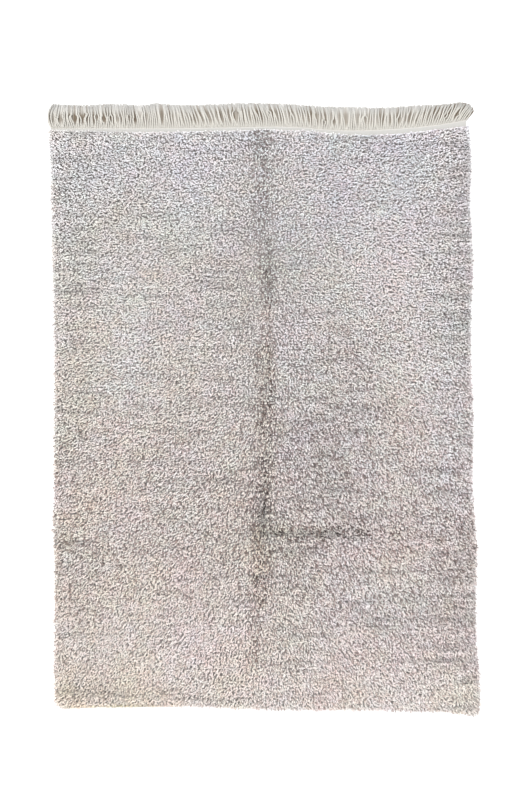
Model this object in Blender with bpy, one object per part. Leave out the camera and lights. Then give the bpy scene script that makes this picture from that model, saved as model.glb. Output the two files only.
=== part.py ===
"""A hand-knotted wool rug with a deep pile, lying flat on the floor.

X runs across the rug, Y along it towards the fringe, and Z up from the floor. The rug is
made of three pieces: the woven ground with a flat-woven heading at each end, the knotted
pile that stands on the ground, and the fringe of warp ends along the +Y edge. All sizes
are in metres, measured from the middle of the rug.
"""

import math
from collections import namedtuple

import bmesh
import bpy
from mathutils import Vector

COLLECTION_NAME = "pile_rug"

# Heights.
GROUND_THICKNESS = 0.004
FRINGE_THICKNESS = 0.004
PILE_HEIGHT = 0.022
PIECE_GAP = 0.0003

# How far the pile leans out past the ground at the sides, and lies back from its hem.
SIDE_SPLAY = 0.006
HEM_SHOWN = 0.005

# The pile's edge is a quarter round of this width, and this share of the height is upright.
RIM_WIDTH = 0.026
RIM_UPRIGHT = 0.35

# The fringe is a row of strands held by a narrow twined edge.
STRAND_PITCH = 0.0108
STRAND_ROOT_WIDTH = 0.0058
STRAND_TIP_WIDTH = 0.0040
TWINED_EDGE = 0.005
CLUMP_SWAY = 0.004
CLUMP_LENGTH = 0.117
REACH_WAVER = 0.003
REACH_WAVER_TURN = 2.4

# Slow rises and dips of the pile between its folds.
WAVER_HEIGHT = 0.0012
WAVER_ACROSS = 0.43
WAVER_ALONG = 0.61

# The two sides of the pile, read at stations along the rug.
SideStation = namedtuple("SideStation", "along left right")
SIDES = (
    SideStation(along=-1.440, left=-0.955, right=1.002),
    SideStation(along=-1.405, left=-0.962, right=1.014),
    SideStation(along=-1.365, left=-0.985, right=1.017),
    SideStation(along=-1.290, left=-0.990, right=1.015),
    SideStation(along=-1.130, left=-0.990, right=0.998),
    SideStation(along=-0.900, left=-0.985, right=0.993),
    SideStation(along=-0.665, left=-0.990, right=0.998),
    SideStation(along=-0.500, left=-0.993, right=0.988),
    SideStation(along=-0.310, left=-0.988, right=0.974),
    SideStation(along=-0.095, left=-0.990, right=0.983),
    SideStation(along=0.280, left=-0.989, right=0.969),
    SideStation(along=0.750, left=-0.999, right=0.979),
    SideStation(along=0.990, left=-1.002, right=0.965),
    SideStation(along=1.200, left=-1.008, right=0.972),
    SideStation(along=1.330, left=-1.017, right=0.962),
)

# The two ends, read at stations across the rug: the hem at -Y, then the edge of the pile
# and of the heading at +Y, how far and at what lean in degrees the fringe runs on, and how
# far its strands bow sideways halfway along.
EndStation = namedtuple("EndStation", "across hem pile heading reach lean bow")
ENDS = (
    EndStation(-1.015, -1.384, 1.320, 1.334, 0.104, 6, -0.019),
    EndStation(-0.940, -1.411, 1.317, 1.335, 0.100, -3, -0.006),
    EndStation(-0.820, -1.404, 1.314, 1.335, 0.099, -2, 0.002),
    EndStation(-0.690, -1.403, 1.311, 1.335, 0.106, -9, -0.003),
    EndStation(-0.580, -1.403, 1.309, 1.335, 0.098, -5, 0.003),
    EndStation(-0.500, -1.402, 1.309, 1.335, 0.108, -4, 0.001),
    EndStation(-0.384, -1.399, 1.311, 1.336, 0.097, -14, 0.004),
    EndStation(-0.265, -1.401, 1.314, 1.338, 0.096, -18, 0.005),
    EndStation(-0.110, -1.409, 1.317, 1.340, 0.104, -12, -0.002),
    EndStation(0.040, -1.414, 1.321, 1.344, 0.099, -14, 0.004),
    EndStation(0.180, -1.417, 1.317, 1.339, 0.096, -12, 0.002),
    EndStation(0.320, -1.415, 1.302, 1.327, 0.099, -4, 0.006),
    EndStation(0.430, -1.415, 1.296, 1.325, 0.100, 0, 0.001),
    EndStation(0.560, -1.418, 1.296, 1.329, 0.092, 3, -0.003),
    EndStation(0.680, -1.421, 1.305, 1.337, 0.094, 10, 0.002),
    EndStation(0.800, -1.422, 1.320, 1.349, 0.088, 20, -0.002),
    EndStation(0.880, -1.425, 1.328, 1.361, 0.087, 30, -0.003),
    EndStation(0.920, -1.430, 1.333, 1.368, 0.070, 32, -0.002),
    EndStation(0.955, -1.438, 1.337, 1.375, 0.034, 38, 0.0),
    EndStation(0.980, -1.444, 1.338, 1.377, 0.030, 40, 0.0),
    EndStation(1.016, -1.430, 1.338, 1.377, 0.030, 40, 0.0),
)

# The creases left in the pile where the rug was folded, each a soft straight trough.
Crease = namedtuple("Crease", "start end depth half_width")
CREASES = (
    Crease(start=(-0.004, 1.300), end=(-0.013, -0.570), depth=0.006, half_width=0.055),
    Crease(start=(-0.013, -0.570), end=(-0.031, -1.180), depth=0.004, half_width=0.050),
    Crease(start=(-0.013, -0.573), end=(0.600, -0.573), depth=0.006, half_width=0.050),
    Crease(start=(0.600, -0.573), end=(0.830, -0.590), depth=0.003, half_width=0.045),
)

# Where the lines of the pile's mesh run: close together at its rims and over its creases.
RIM_STEPS = (0.0, 0.004, 0.013, RIM_WIDTH)
CREASE_STEPS = (-0.060, -0.032, 0.0, 0.032, 0.060)
CREASE_ACROSS = -0.013
CREASE_ALONG = -0.573
OPEN_STEP_ACROSS = 0.155
OPEN_STEP_ALONG = 0.170

OUTLINE_STEPS = 40

# Where the sides of the ground meet its ends.
TOP_CORNERS = 1.330
HEM_LEFT_CORNER = -1.380
HEM_RIGHT_CORNER = -1.425

Finish = namedtuple("Finish", "name color roughness")
GROUND_FINISH = Finish(name="ground_wool", color=(0.72, 0.68, 0.60), roughness=0.95)
PILE_FINISH = Finish(name="pile_wool", color=(0.60, 0.57, 0.55), roughness=0.95)
FRINGE_FINISH = Finish(name="warp_yarn", color=(0.80, 0.76, 0.68), roughness=0.90)


def clear_scene():
    """Removes every object that the scene starts with."""
    for scene_object in list(bpy.data.objects):
        bpy.data.objects.remove(scene_object, do_unlink=True)


def make_material(finish):
    """A Principled material of one finish."""
    material = bpy.data.materials.new(finish.name)
    material.use_nodes = True
    shader = material.node_tree.nodes["Principled BSDF"]
    shader.inputs["Base Color"].default_value = (*finish.color, 1.0)
    shader.inputs["Roughness"].default_value = finish.roughness
    shader.inputs["Metallic"].default_value = 0.0
    material.diffuse_color = (*finish.color, 1.0)
    return material


def read_table(rows, column, place):
    """Reads a column of a table between its rows, on a smooth curve through them.

    The first column of the table says where each row stands.
    """
    places = [row[0] for row in rows]
    values = [getattr(row, column) for row in rows]
    place = min(max(place, places[0]), places[-1])
    index = max(i for i in range(len(rows) - 1) if places[i] <= place)

    def slope(at):
        before, after = max(at - 1, 0), min(at + 1, len(rows) - 1)
        return (values[after] - values[before]) / (places[after] - places[before])

    span = places[index + 1] - places[index]
    t = (place - places[index]) / span
    start, end = values[index], values[index + 1]
    return (
        start * (1 + 2 * t) * (1 - t) ** 2
        + span * slope(index) * t * (1 - t) ** 2
        + end * (3 - 2 * t) * t ** 2
        - span * slope(index + 1) * t ** 2 * (1 - t)
    )


def side_left(along, inset=0.0):
    return read_table(SIDES, "left", along) + inset


def side_right(along, inset=0.0):
    return read_table(SIDES, "right", along) - inset


def ease(t):
    """Runs from 0 to 1 with level ends."""
    t = min(max(t, 0.0), 1.0)
    return t * t * (3 - 2 * t)


def even_steps(start, end, most):
    """Places from start to just before end, evenly apart, at most a given step."""
    count = max(1, math.ceil((end - start) / most))
    return [start + (end - start) * i / count for i in range(count)]


def patch_point(u, v):
    """The place in plan of a point of the pile.

    u runs from 0 at the left side to 1 at the right side, and v from 0 at the hem to 1 at
    the edge of the pile at the heading. Each pass settles one coordinate by the other.
    """
    x, y = 0.0, 0.0
    for _ in range(4):
        low = hem_edge(x) + HEM_SHOWN
        high = read_table(ENDS, "pile", x)
        y = low + (high - low) * v
        x = side_left(y) + (side_right(y) - side_left(y)) * u
    return Vector((x, y))


def distance_to_crease(point, crease):
    """The distance in plan from a point to the middle line of a crease."""
    start, end = Vector(crease.start), Vector(crease.end)
    run = end - start
    t = (point - start).dot(run) / run.length_squared
    return (point - start - run * min(max(t, 0.0), 1.0)).length


def pile_height(point, rim_distance):
    """How high the pile stands over the ground at a point, in from its nearest edge."""
    t = min(rim_distance / RIM_WIDTH, 1.0)
    rim = RIM_UPRIGHT + (1 - RIM_UPRIGHT) * math.sqrt(1 - (1 - t) ** 2)
    sunk = max(
        crease.depth * ease(1 - distance_to_crease(point, crease) / crease.half_width)
        for crease in CREASES
    )
    wave_across = math.sin(math.tau * point.x / WAVER_ACROSS)
    wave_along = math.cos(math.tau * point.y / WAVER_ALONG)
    return rim * (PILE_HEIGHT + WAVER_HEIGHT * wave_across * wave_along) - sunk


def mesh_lines(length, crease_place, open_step):
    """The places, from 0 to length, of the mesh lines of the pile in one direction."""
    crease_lines = [crease_place + step for step in CREASE_STEPS]
    near = even_steps(RIM_WIDTH, crease_lines[0], open_step)
    far = even_steps(crease_lines[-1], length - RIM_WIDTH, open_step)
    far_rim = [length - step for step in reversed(RIM_STEPS)]
    return [*RIM_STEPS[:-1], *near, *crease_lines[:-1], *far, *far_rim]


def build_pile():
    """The pile: a flat patch raised to the height of the tufts, with its folds and rims."""
    low, high = patch_point(0.5, 0.0), patch_point(0.5, 1.0)
    left, right = patch_point(0.0, 0.5), patch_point(1.0, 0.5)
    width, length = right.x - left.x, high.y - low.y
    across = mesh_lines(width, CREASE_ACROSS - left.x, OPEN_STEP_ACROSS)
    along = mesh_lines(length, CREASE_ALONG - low.y, OPEN_STEP_ALONG)

    shape = bmesh.new()
    grid = bmesh.ops.create_grid(
        shape,
        x_segments=len(across) - 1,
        y_segments=len(along) - 1,
        size=0.5,
    )["verts"]
    underside_z = GROUND_THICKNESS + PIECE_GAP
    heights = {}
    for vert in grid:
        column = round((vert.co.x + 0.5) * (len(across) - 1))
        row = round((vert.co.y + 0.5) * (len(along) - 1))
        place = patch_point(across[column] / width, along[row] / length)
        rim_distance = min(
            across[column],
            width - across[column],
            along[row],
            length - along[row],
        )
        heights[column, row] = pile_height(place, rim_distance)
        vert.co = (place.x, place.y, underside_z + heights[column, row])

    top_faces = list(shape.faces)
    extruded = bmesh.ops.extrude_face_region(shape, geom=top_faces, use_keep_orig=True)
    underside = [item for item in extruded["geom"] if isinstance(item, bmesh.types.BMVert)]
    for vert in underside:
        vert.co.z = underside_z
    bottom_faces = [item for item in extruded["geom"] if isinstance(item, bmesh.types.BMFace)]
    bmesh.ops.dissolve_faces(shape, faces=bottom_faces)
    bmesh.ops.recalc_face_normals(shape, faces=shape.faces)
    mesh = bpy.data.meshes.new("pile")
    shape.to_mesh(mesh)
    shape.free()
    mesh.shade_smooth()
    mesh.materials.append(make_material(PILE_FINISH))
    return bpy.data.objects.new("pile", mesh)


def flat_piece(name, outline, thickness, finish):
    """A flat outline cut out of cloth, lying on the floor."""
    curve = bpy.data.curves.new(name, "CURVE")
    curve.dimensions = "2D"
    curve.fill_mode = "BOTH"
    curve.extrude = thickness / 2
    spline = curve.splines.new("POLY")
    spline.points.add(len(outline) - 1)
    for point, (x, y) in zip(spline.points, outline):
        point.co = (x, y, 0.0, 1.0)
    spline.use_cyclic_u = True
    curve.materials.append(make_material(finish))
    piece = bpy.data.objects.new(name, curve)
    piece.location.z = thickness / 2
    return piece


def run_of(start, end):
    """Places from start to end, both among them, closer together near the corners."""
    shares = [(1 - math.cos(math.pi * i / OUTLINE_STEPS)) / 2 for i in range(OUTLINE_STEPS + 1)]
    return [start + (end - start) * share for share in shares]


def heading_edge(across):
    """The edge of the woven heading, where the twined edge of the fringe begins."""
    return read_table(ENDS, "heading", across) - TWINED_EDGE - PIECE_GAP


def hem_edge(across):
    """The edge of the ground at the hem."""
    return read_table(ENDS, "hem", across)


def build_ground():
    """The woven ground: one cloth under the pile that runs out as a heading at both ends."""
    hem_left = side_left(HEM_LEFT_CORNER, SIDE_SPLAY)
    hem_right = side_right(HEM_RIGHT_CORNER, SIDE_SPLAY)
    top_left = side_left(TOP_CORNERS, SIDE_SPLAY)
    top_right = side_right(TOP_CORNERS, SIDE_SPLAY)
    right_run = run_of(hem_edge(hem_right), heading_edge(top_right))
    left_run = run_of(heading_edge(top_left), hem_edge(hem_left))
    hem = [(x, hem_edge(x)) for x in run_of(hem_left, hem_right)]
    right = [(side_right(y, SIDE_SPLAY), y) for y in right_run]
    top = [(x, heading_edge(x)) for x in run_of(top_right, top_left)]
    left = [(side_left(y, SIDE_SPLAY), y) for y in left_run]
    outline = hem + right[1:-1] + top + left[1:-1]
    return flat_piece("ground_weave", outline, GROUND_THICKNESS, GROUND_FINISH)


def strand_outline(root_x, number):
    """The outline of one fringe strand, from its right root to its left root."""
    root_y = read_table(ENDS, "heading", root_x)
    lean = math.radians(read_table(ENDS, "lean", root_x))
    waver = REACH_WAVER * math.sin(REACH_WAVER_TURN * number)
    reach = read_table(ENDS, "reach", root_x) + waver
    clump = CLUMP_SWAY * math.sin(math.tau * root_x / CLUMP_LENGTH)
    tip_x = root_x + reach * math.tan(lean) + clump
    bow = read_table(ENDS, "bow", root_x)
    middle_x = (root_x + tip_x) / 2 - clump + bow
    rows = (
        (root_x, root_y, STRAND_ROOT_WIDTH),
        (middle_x, root_y + 0.5 * reach, STRAND_ROOT_WIDTH),
        (tip_x, root_y + reach, STRAND_TIP_WIDTH),
    )
    right_edge = [(x + width / 2, y) for x, y, width in rows]
    left_edge = [(x - width / 2, y) for x, y, width in reversed(rows)]
    return right_edge + left_edge


def build_fringe():
    """The fringe: one comb of warp ends along the heading."""
    left = side_left(TOP_CORNERS, SIDE_SPLAY)
    right = side_right(TOP_CORNERS, SIDE_SPLAY)
    lower = [(x, heading_edge(x) + PIECE_GAP) for x in run_of(left, right)]
    count = math.floor((right - left - STRAND_ROOT_WIDTH) / STRAND_PITCH)
    first = (left + right - count * STRAND_PITCH) / 2
    outline = list(lower)
    outline.append((right, read_table(ENDS, "heading", right)))
    for number in range(count, -1, -1):
        outline += strand_outline(first + number * STRAND_PITCH, number)
    outline.append((left, read_table(ENDS, "heading", left)))
    return flat_piece("fringe", outline, FRINGE_THICKNESS, FRINGE_FINISH)


def centre_on_origin(pieces):
    """Moves the pieces together, so that the middle of their box in plan is the origin."""
    bpy.context.view_layer.update()
    graph = bpy.context.evaluated_depsgraph_get()
    points = []
    for piece in pieces:
        evaluated = piece.evaluated_get(graph)
        points += [piece.matrix_world @ vert.co for vert in evaluated.to_mesh().vertices]
        evaluated.to_mesh_clear()
    for axis in range(2):
        values = [point[axis] for point in points]
        middle = (min(values) + max(values)) / 2
        for piece in pieces:
            piece.location[axis] -= middle


def main():
    clear_scene()
    collection = bpy.data.collections.new(COLLECTION_NAME)
    bpy.context.scene.collection.children.link(collection)
    pieces = [build_ground(), build_pile(), build_fringe()]
    for piece in pieces:
        collection.objects.link(piece)
    centre_on_origin(pieces)


main()
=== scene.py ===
"""A hand-knotted wool rug with a deep marled pile, lying flat and seen from above.

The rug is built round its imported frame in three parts. The ground is a woven sheet with a
ribbed, flat-woven heading at each end. The pile is a field of leaning wool tufts, one for
each knot, parted along the creases where the rug was folded. The fringe is a row of
twisted warp ends that come out of a twined edge.

X runs across the rug, Y along it towards the fringe and Z up. Sizes are in metres.
"""

import logging
import math
from dataclasses import dataclass
from enum import Enum
from typing import NamedTuple

import bmesh
import bpy
import numpy as np
from bpy.types import Collection, Material, Mesh, MeshUVLoopLayer, Node, NodeSocket, NodeTree
from bpy.types import Object
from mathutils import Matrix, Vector, noise
from mathutils.bvhtree import BVHTree


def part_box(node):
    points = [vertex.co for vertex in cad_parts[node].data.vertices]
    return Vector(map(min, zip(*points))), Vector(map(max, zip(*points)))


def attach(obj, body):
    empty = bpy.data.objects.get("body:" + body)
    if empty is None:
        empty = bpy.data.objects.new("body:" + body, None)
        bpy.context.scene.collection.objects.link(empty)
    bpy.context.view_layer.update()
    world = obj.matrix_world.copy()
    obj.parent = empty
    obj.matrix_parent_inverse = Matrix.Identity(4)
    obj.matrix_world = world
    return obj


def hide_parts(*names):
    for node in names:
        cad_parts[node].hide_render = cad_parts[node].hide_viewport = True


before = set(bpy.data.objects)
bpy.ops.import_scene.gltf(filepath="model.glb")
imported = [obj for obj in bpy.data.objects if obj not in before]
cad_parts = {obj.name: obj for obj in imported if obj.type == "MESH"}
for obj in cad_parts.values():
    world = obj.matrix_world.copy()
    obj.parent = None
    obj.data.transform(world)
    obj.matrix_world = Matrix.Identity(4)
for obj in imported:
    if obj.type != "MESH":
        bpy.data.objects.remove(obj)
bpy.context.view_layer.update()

# A linear colour, and a pair of numbers: a place or size in plan, or a span of values.
Rgb = tuple[float, float, float]
Pair = tuple[float, float]

LOG = logging.getLogger("pile_rug")

BODY = "root"
GROUND_NODE = "ground_weave"
PILE_NODE = "pile"
FRINGE_NODE = "fringe"

# The map on which the finish of a piece of many small repeats is baked, a cell for each.
BAKE_MAP = "OFBake"
# The map that runs round and along a yarn.
YARN_MAP = "yarn"

# Points that are closer than this are one point, and heights that are closer one level.
SAME_POINT = 1e-6
SAME_LEVEL = 1e-5
# Past this, up or down, the Z of a face's normal makes it a level face.
LEVEL_NORMAL = 0.9
# How far the yarn of the fringe and its edge stays off the floor.
FLOOR_CLEARANCE = 0.0003


# Helpers for making and finishing pieces.


def deselect_all() -> None:
    """Leaves no object selected."""
    bpy.ops.object.select_all(action="DESELECT")


def name_new(name: str) -> Object:
    """Names the primitive that was just added, and its mesh.

    Args:
        name: The name that it takes.

    Returns:
        The object.
    """
    piece = bpy.context.object
    piece.name = name
    piece.data.name = name
    return piece


def edit(piece: Object) -> None:
    """Opens one object, and no other, in edit mode."""
    deselect_all()
    piece.select_set(True)
    bpy.context.view_layer.objects.active = piece
    bpy.ops.object.mode_set(mode="EDIT")


def leave_edit() -> None:
    """Goes back to object mode."""
    bpy.ops.object.mode_set(mode="OBJECT")


def face_outwards() -> None:
    """Points every face of the mesh that is in edit mode outwards, and goes back to object mode."""
    bpy.ops.mesh.select_all(action="SELECT")
    bpy.ops.mesh.normals_make_consistent(inside=False)
    leave_edit()


def apply_modifiers(piece: Object) -> None:
    """Applies every modifier of a piece, in order."""
    deselect_all()
    piece.select_set(True)
    bpy.context.view_layer.objects.active = piece
    for modifier in list(piece.modifiers):
        bpy.ops.object.modifier_apply(modifier=modifier.name)


def points_of(mesh: Mesh) -> np.ndarray:
    """The places of a mesh's vertices, one row each."""
    points = np.empty(len(mesh.vertices) * 3, np.float32)
    mesh.vertices.foreach_get("co", points)
    return points.reshape(-1, 3).astype(float)


def move_points(mesh: Mesh, points: np.ndarray) -> None:
    """Moves a mesh's vertices to new places, one row each."""
    mesh.vertices.foreach_set("co", points.astype(np.float32).ravel())
    mesh.update()


def read_values(mesh: Mesh, name: str) -> np.ndarray:
    """A number or whole number that each vertex of a mesh carries."""
    attribute = mesh.attributes[name]
    kind = np.int32 if attribute.data_type == "INT" else np.float32
    values = np.empty(len(attribute.data), kind)
    attribute.data.foreach_get("value", values)
    return values


def store_values(mesh: Mesh, name: str, values: np.ndarray) -> None:
    """Stores a number or whole number on each vertex of a mesh.

    Args:
        mesh: The mesh.
        name: The attribute's name.
        values: One value for each vertex. Whole numbers are kept as such.
    """
    whole = np.issubdtype(values.dtype, np.integer)
    attribute = mesh.attributes.new(name, "INT" if whole else "FLOAT", "POINT")
    attribute.data.foreach_set("value", values.astype(np.int32 if whole else np.float32))


def store_vectors(mesh: Mesh, name: str, vectors: np.ndarray) -> None:
    """Stores a vector on each vertex of a mesh, one row each."""
    attribute = mesh.attributes.new(name, "FLOAT_VECTOR", "POINT")
    attribute.data.foreach_set("vector", vectors.astype(np.float32).ravel())


def store_colors(mesh: Mesh, name: str, colors: np.ndarray) -> None:
    """Stores a linear colour on each vertex of a mesh, one row each."""
    attribute = mesh.attributes.new(name, "FLOAT_COLOR", "POINT")
    opaque = np.column_stack([colors, np.ones(len(colors))])
    attribute.data.foreach_set("color", opaque.astype(np.float32).ravel())


def drift(places: np.ndarray, size: float, layer: float) -> np.ndarray:
    """A smooth, slow change over the floor, the same each time.

    Args:
        places: Places in plan, one row each.
        size: How far the change takes to come round, roughly.
        layer: Which of many such changes it is.

    Returns:
        A value from about -1 to 1 for each place.
    """
    return np.array([noise.noise(Vector((x / size, y / size, layer))) for x, y in places])


def ease(t: np.ndarray) -> np.ndarray:
    """Runs from 0 to 1 with level ends."""
    t = np.clip(t, 0.0, 1.0)
    return t * t * (3 - 2 * t)


def read_rows(rows: tuple, column: str, places: np.ndarray) -> np.ndarray:
    """Reads a column of a short table at any places.

    Args:
        rows: The rows, in the order of their first column, which is a place.
        column: The name of the column that is read.
        places: Where it is read.

    Returns:
        The column's value at each place, in a straight line between rows.
    """
    return np.interp(places, [row[0] for row in rows], [getattr(row, column) for row in rows])


def cell_map(mesh: Mesh, repeats: np.ndarray, count: int, margin: float) -> None:
    """Gives each repeat of a piece a cell of its own on the map that is baked.

    Args:
        mesh: The mesh, which has the yarn map.
        repeats: The number of the repeat that each vertex belongs to.
        count: How many repeats there are.
        margin: The share of a cell that is kept clear at each of its sides.
    """
    corners = np.empty(len(mesh.loops), np.int32)
    mesh.loops.foreach_get("vertex_index", corners)
    local = np.empty(len(mesh.loops) * 2, np.float32)
    mesh.uv_layers[YARN_MAP].uv.foreach_get("vector", local)
    per_side = math.ceil(math.sqrt(count))
    repeat = repeats[corners]
    cell = np.column_stack([repeat % per_side, repeat // per_side])
    placed = (cell + margin + (1 - 2 * margin) * local.reshape(-1, 2)) / per_side
    baked = mesh.uv_layers.new(name=BAKE_MAP)
    baked.uv.foreach_set("vector", placed.astype(np.float32).ravel())


def yarn_layer(mesh: Mesh) -> MeshUVLoopLayer:
    """Turns the map that a primitive comes with into the yarn map."""
    layer = mesh.uv_layers[0]
    layer.name = YARN_MAP
    return layer


def hand_over(piece: Object, node: str) -> None:
    """Puts a finished piece on the rug's body in place of a CAD node, and reports it.

    Args:
        piece: The piece.
        node: The CAD node that it stands for.
    """
    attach(piece, BODY)
    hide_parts(node)
    triangles = sum(len(face.vertices) - 2 for face in piece.data.polygons)
    LOG.info("%s: %d triangles, stands for %s", piece.name, triangles, node)


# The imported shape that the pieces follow.


@dataclass
class Patch:
    """A four-sided patch of the floor, with its sides read from a CAD node's underside.

    The hem and the top run from left to right, and the left and right sides from the hem
    to the top.
    """

    hem: np.ndarray
    top: np.ndarray
    left: np.ndarray
    right: np.ndarray

    @classmethod
    def of_node(cls, name: str) -> "Patch":
        """Reads the patch that a CAD node covers.

        Args:
            name: The node's name.

        Returns:
            The patch.
        """
        loop = cls.underside_loop(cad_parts[name])
        low, high = loop.min(0), loop.max(0)

        def corner(x: float, y: float) -> int:
            """The number of the loop's point that is nearest to a corner of its box."""
            return int(np.argmin(np.hypot(loop[:, 0] - x, loop[:, 1] - y)))

        loop = np.roll(loop, -corner(low[0], low[1]), axis=0)
        hem_right = corner(high[0], low[1])
        top_right = corner(high[0], high[1])
        top_left = corner(low[0], high[1])
        return cls(
            hem=loop[: hem_right + 1],
            top=loop[top_right : top_left + 1][::-1],
            left=np.vstack([loop[top_left:], loop[:1]])[::-1],
            right=loop[hem_right : top_right + 1],
        )

    @staticmethod
    def underside_loop(node: Object) -> np.ndarray:
        """Walks round the flat underside of a node, counterclockwise.

        Args:
            node: The CAD node. Its own mesh is left as it is.

        Returns:
            The points of the outline in plan, one row each.
        """
        shape = bmesh.new()
        shape.from_mesh(node.data)
        bmesh.ops.remove_doubles(shape, verts=shape.verts, dist=SAME_POINT)
        shape.normal_update()
        level = min(vert.co.z for vert in shape.verts) + SAME_LEVEL
        under = {
            face
            for face in shape.faces
            if face.normal.z < -LEVEL_NORMAL and face.calc_center_median().z < level
        }
        ways = {}
        for face in under:
            for loop in face.loops:
                if sum(other in under for other in loop.edge.link_faces) == 1:
                    ways[loop.link_loop_next.vert] = loop.vert
        start = next(iter(ways))
        walk = [start]
        while ways[walk[-1]] is not start:
            walk.append(ways[walk[-1]])
        outline = np.array([vert.co[:2] for vert in walk])
        shape.free()
        return outline

    @staticmethod
    def along(line: np.ndarray, share: np.ndarray) -> np.ndarray:
        """Reads a line at shares of its length.

        Args:
            line: The line's points, one row each.
            share: Where it is read, from 0 at its start to 1 at its end.

        Returns:
            A place for each share.
        """
        steps = np.hypot(*np.diff(line, axis=0).T)
        reached = np.concatenate([[0.0], np.cumsum(steps)]) / steps.sum()
        return np.column_stack([np.interp(share, reached, line[:, axis]) for axis in range(2)])

    def at(self, u: np.ndarray, v: np.ndarray) -> np.ndarray:
        """Places inside the patch, blended between its four sides.

        Args:
            u: Shares of the width, from the left side to the right.
            v: Shares of the length, from the hem to the top.

        Returns:
            A place for each pair of shares.
        """
        across, up = u[:, None], v[:, None]
        ends = (1 - up) * self.along(self.hem, u) + up * self.along(self.top, u)
        sides = (1 - across) * self.along(self.left, v) + across * self.along(self.right, v)
        low = (1 - across) * self.hem[0] + across * self.hem[-1]
        high = (1 - across) * self.top[0] + across * self.top[-1]
        return ends + sides - (1 - up) * low - up * high

    @property
    def width(self) -> float:
        """The width across the middle."""
        half = np.array([0.5])
        return float(self.along(self.right, half)[0, 0] - self.along(self.left, half)[0, 0])

    @property
    def length(self) -> float:
        """The length along the middle."""
        half = np.array([0.5])
        return float(self.along(self.top, half)[0, 1] - self.along(self.hem, half)[0, 1])


class PackedTop:
    """The upper surface of a CAD node, felt from above."""

    feeler_start: float = 1.0
    feeler_way: Vector = Vector((0.0, 0.0, -1.0))

    def __init__(self, name: str) -> None:
        """Readies a node for feeling.

        Args:
            name: The node's name.
        """
        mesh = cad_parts[name].data
        faces = [tuple(face.vertices) for face in mesh.polygons]
        self.tree = BVHTree.FromPolygons([vert.co for vert in mesh.vertices], faces)
        self.low, self.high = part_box(name)

    def heights(self, places: np.ndarray) -> np.ndarray:
        """How high the surface stands at places in plan.

        Args:
            places: The places, one row each.

        Returns:
            The surface's Z at each place, or the node's lowest where it has none.
        """
        found = []
        for x, y in places:
            hit = self.tree.ray_cast(Vector((x, y, self.feeler_start)), self.feeler_way)[0]
            found.append(hit.z if hit else self.low.z)
        return np.array(found)


# Node trees, and the shader node groups that more than one finish uses.

# The power that rounds the ridge of a ply, and how high up the ridge its groove reaches.
RIDGE_POWER = 0.6
GROOVE_TOP = 0.45
# The noise of loose fibres.
FIBRE_DETAIL = 3.0
FIBRE_ROUGHNESS = 0.6
# The Z of a normal at which the painted flank shade of a yarn starts to lift, and at which it is
# gone.
LIT_SPAN = (-0.1, 0.75)


class NodeMaker:
    """Adds nodes to a tree, each with its settings and inputs."""

    def __init__(self, tree: NodeTree) -> None:
        """Takes the tree that it adds to."""
        self.tree = tree

    def feed(self, socket: NodeSocket, value: object) -> None:
        """Gives an input what it takes: a link from another socket, or else a value."""
        if isinstance(value, NodeSocket):
            self.tree.links.new(value, socket)
        else:
            socket.default_value = value

    def add(
        self, kind: str, inputs: dict[int | str, object] | None = None, **settings: object
    ) -> Node:
        """Adds a node.

        Args:
            kind: The node's type.
            inputs: What its inputs take, by number or name, each a socket or a value.
            settings: Its own settings, such as its operation.

        Returns:
            The node.
        """
        node = self.tree.nodes.new(kind)
        for name, value in settings.items():
            setattr(node, name, value)
        for place, value in (inputs or {}).items():
            self.feed(node.inputs[place], value)
        return node

    def math(self, operation: str, first: object, second: object = 0.0) -> NodeSocket:
        """Adds a Math node.

        Args:
            operation: The name of the operation.
            first: A socket or a number.
            second: A socket or a number.

        Returns:
            The socket that holds the result.
        """
        return self.add("ShaderNodeMath", {0: first, 1: second}, operation=operation).outputs[0]

    def scale(self, vector: NodeSocket, factor: NodeSocket) -> NodeSocket:
        """Multiplies a vector or a colour by a number, both sockets."""
        inputs = {0: vector, "Scale": factor}
        return self.add("ShaderNodeVectorMath", inputs, operation="SCALE").outputs[0]

    def part(self, vector: NodeSocket, axis: str) -> NodeSocket:
        """Takes the X, Y or Z of a vector."""
        return self.add("ShaderNodeSeparateXYZ", {0: vector}).outputs[axis]

    def blend(self, value: NodeSocket, span: Pair, onto: Pair) -> NodeSocket:
        """Maps a value smoothly.

        Args:
            value: The socket that is mapped.
            span: The two values that it is read between.
            onto: What those two values become.

        Returns:
            The socket that holds the result.
        """
        inputs = {"Value": value, "From Min": span[0], "From Max": span[1]}
        inputs |= {"To Min": onto[0], "To Max": onto[1]}
        node = self.add("ShaderNodeMapRange", inputs, interpolation_type="SMOOTHSTEP")
        return node.outputs["Result"]


class PlantingMaker(NodeMaker):
    """Builds geometry nodes that put a copy of something on each of many points."""

    def __init__(self, name: str) -> None:
        """Starts the tree, in which the points already reach the node that plants.

        Args:
            name: The tree's name.
        """
        super().__init__(bpy.data.node_groups.new(name, "GeometryNodeTree"))
        for way in ("INPUT", "OUTPUT"):
            self.tree.interface.new_socket("Geometry", in_out=way, socket_type="NodeSocketGeometry")
        points = self.add("NodeGroupInput").outputs[0]
        self.plant = self.add("GeometryNodeInstanceOnPoints", {"Points": points})

    def stored(self, name: str, kind: str) -> NodeSocket:
        """Reads a value that is stored by name.

        Args:
            name: The attribute's name.
            kind: Its type of data.

        Returns:
            The socket that holds the value.
        """
        node = self.add("GeometryNodeInputNamedAttribute", {"Name": name}, data_type=kind)
        return node.outputs["Attribute"]

    def planted(self) -> NodeSocket:
        """The copies as one mesh."""
        inputs = {0: self.plant.outputs[0]}
        return self.add("GeometryNodeRealizeInstances", inputs).outputs[0]

    def finish(self, geometry: NodeSocket) -> NodeTree:
        """Makes a socket the tree's result, and gives the tree."""
        self.add("NodeGroupOutput", {0: geometry})
        return self.tree


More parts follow.
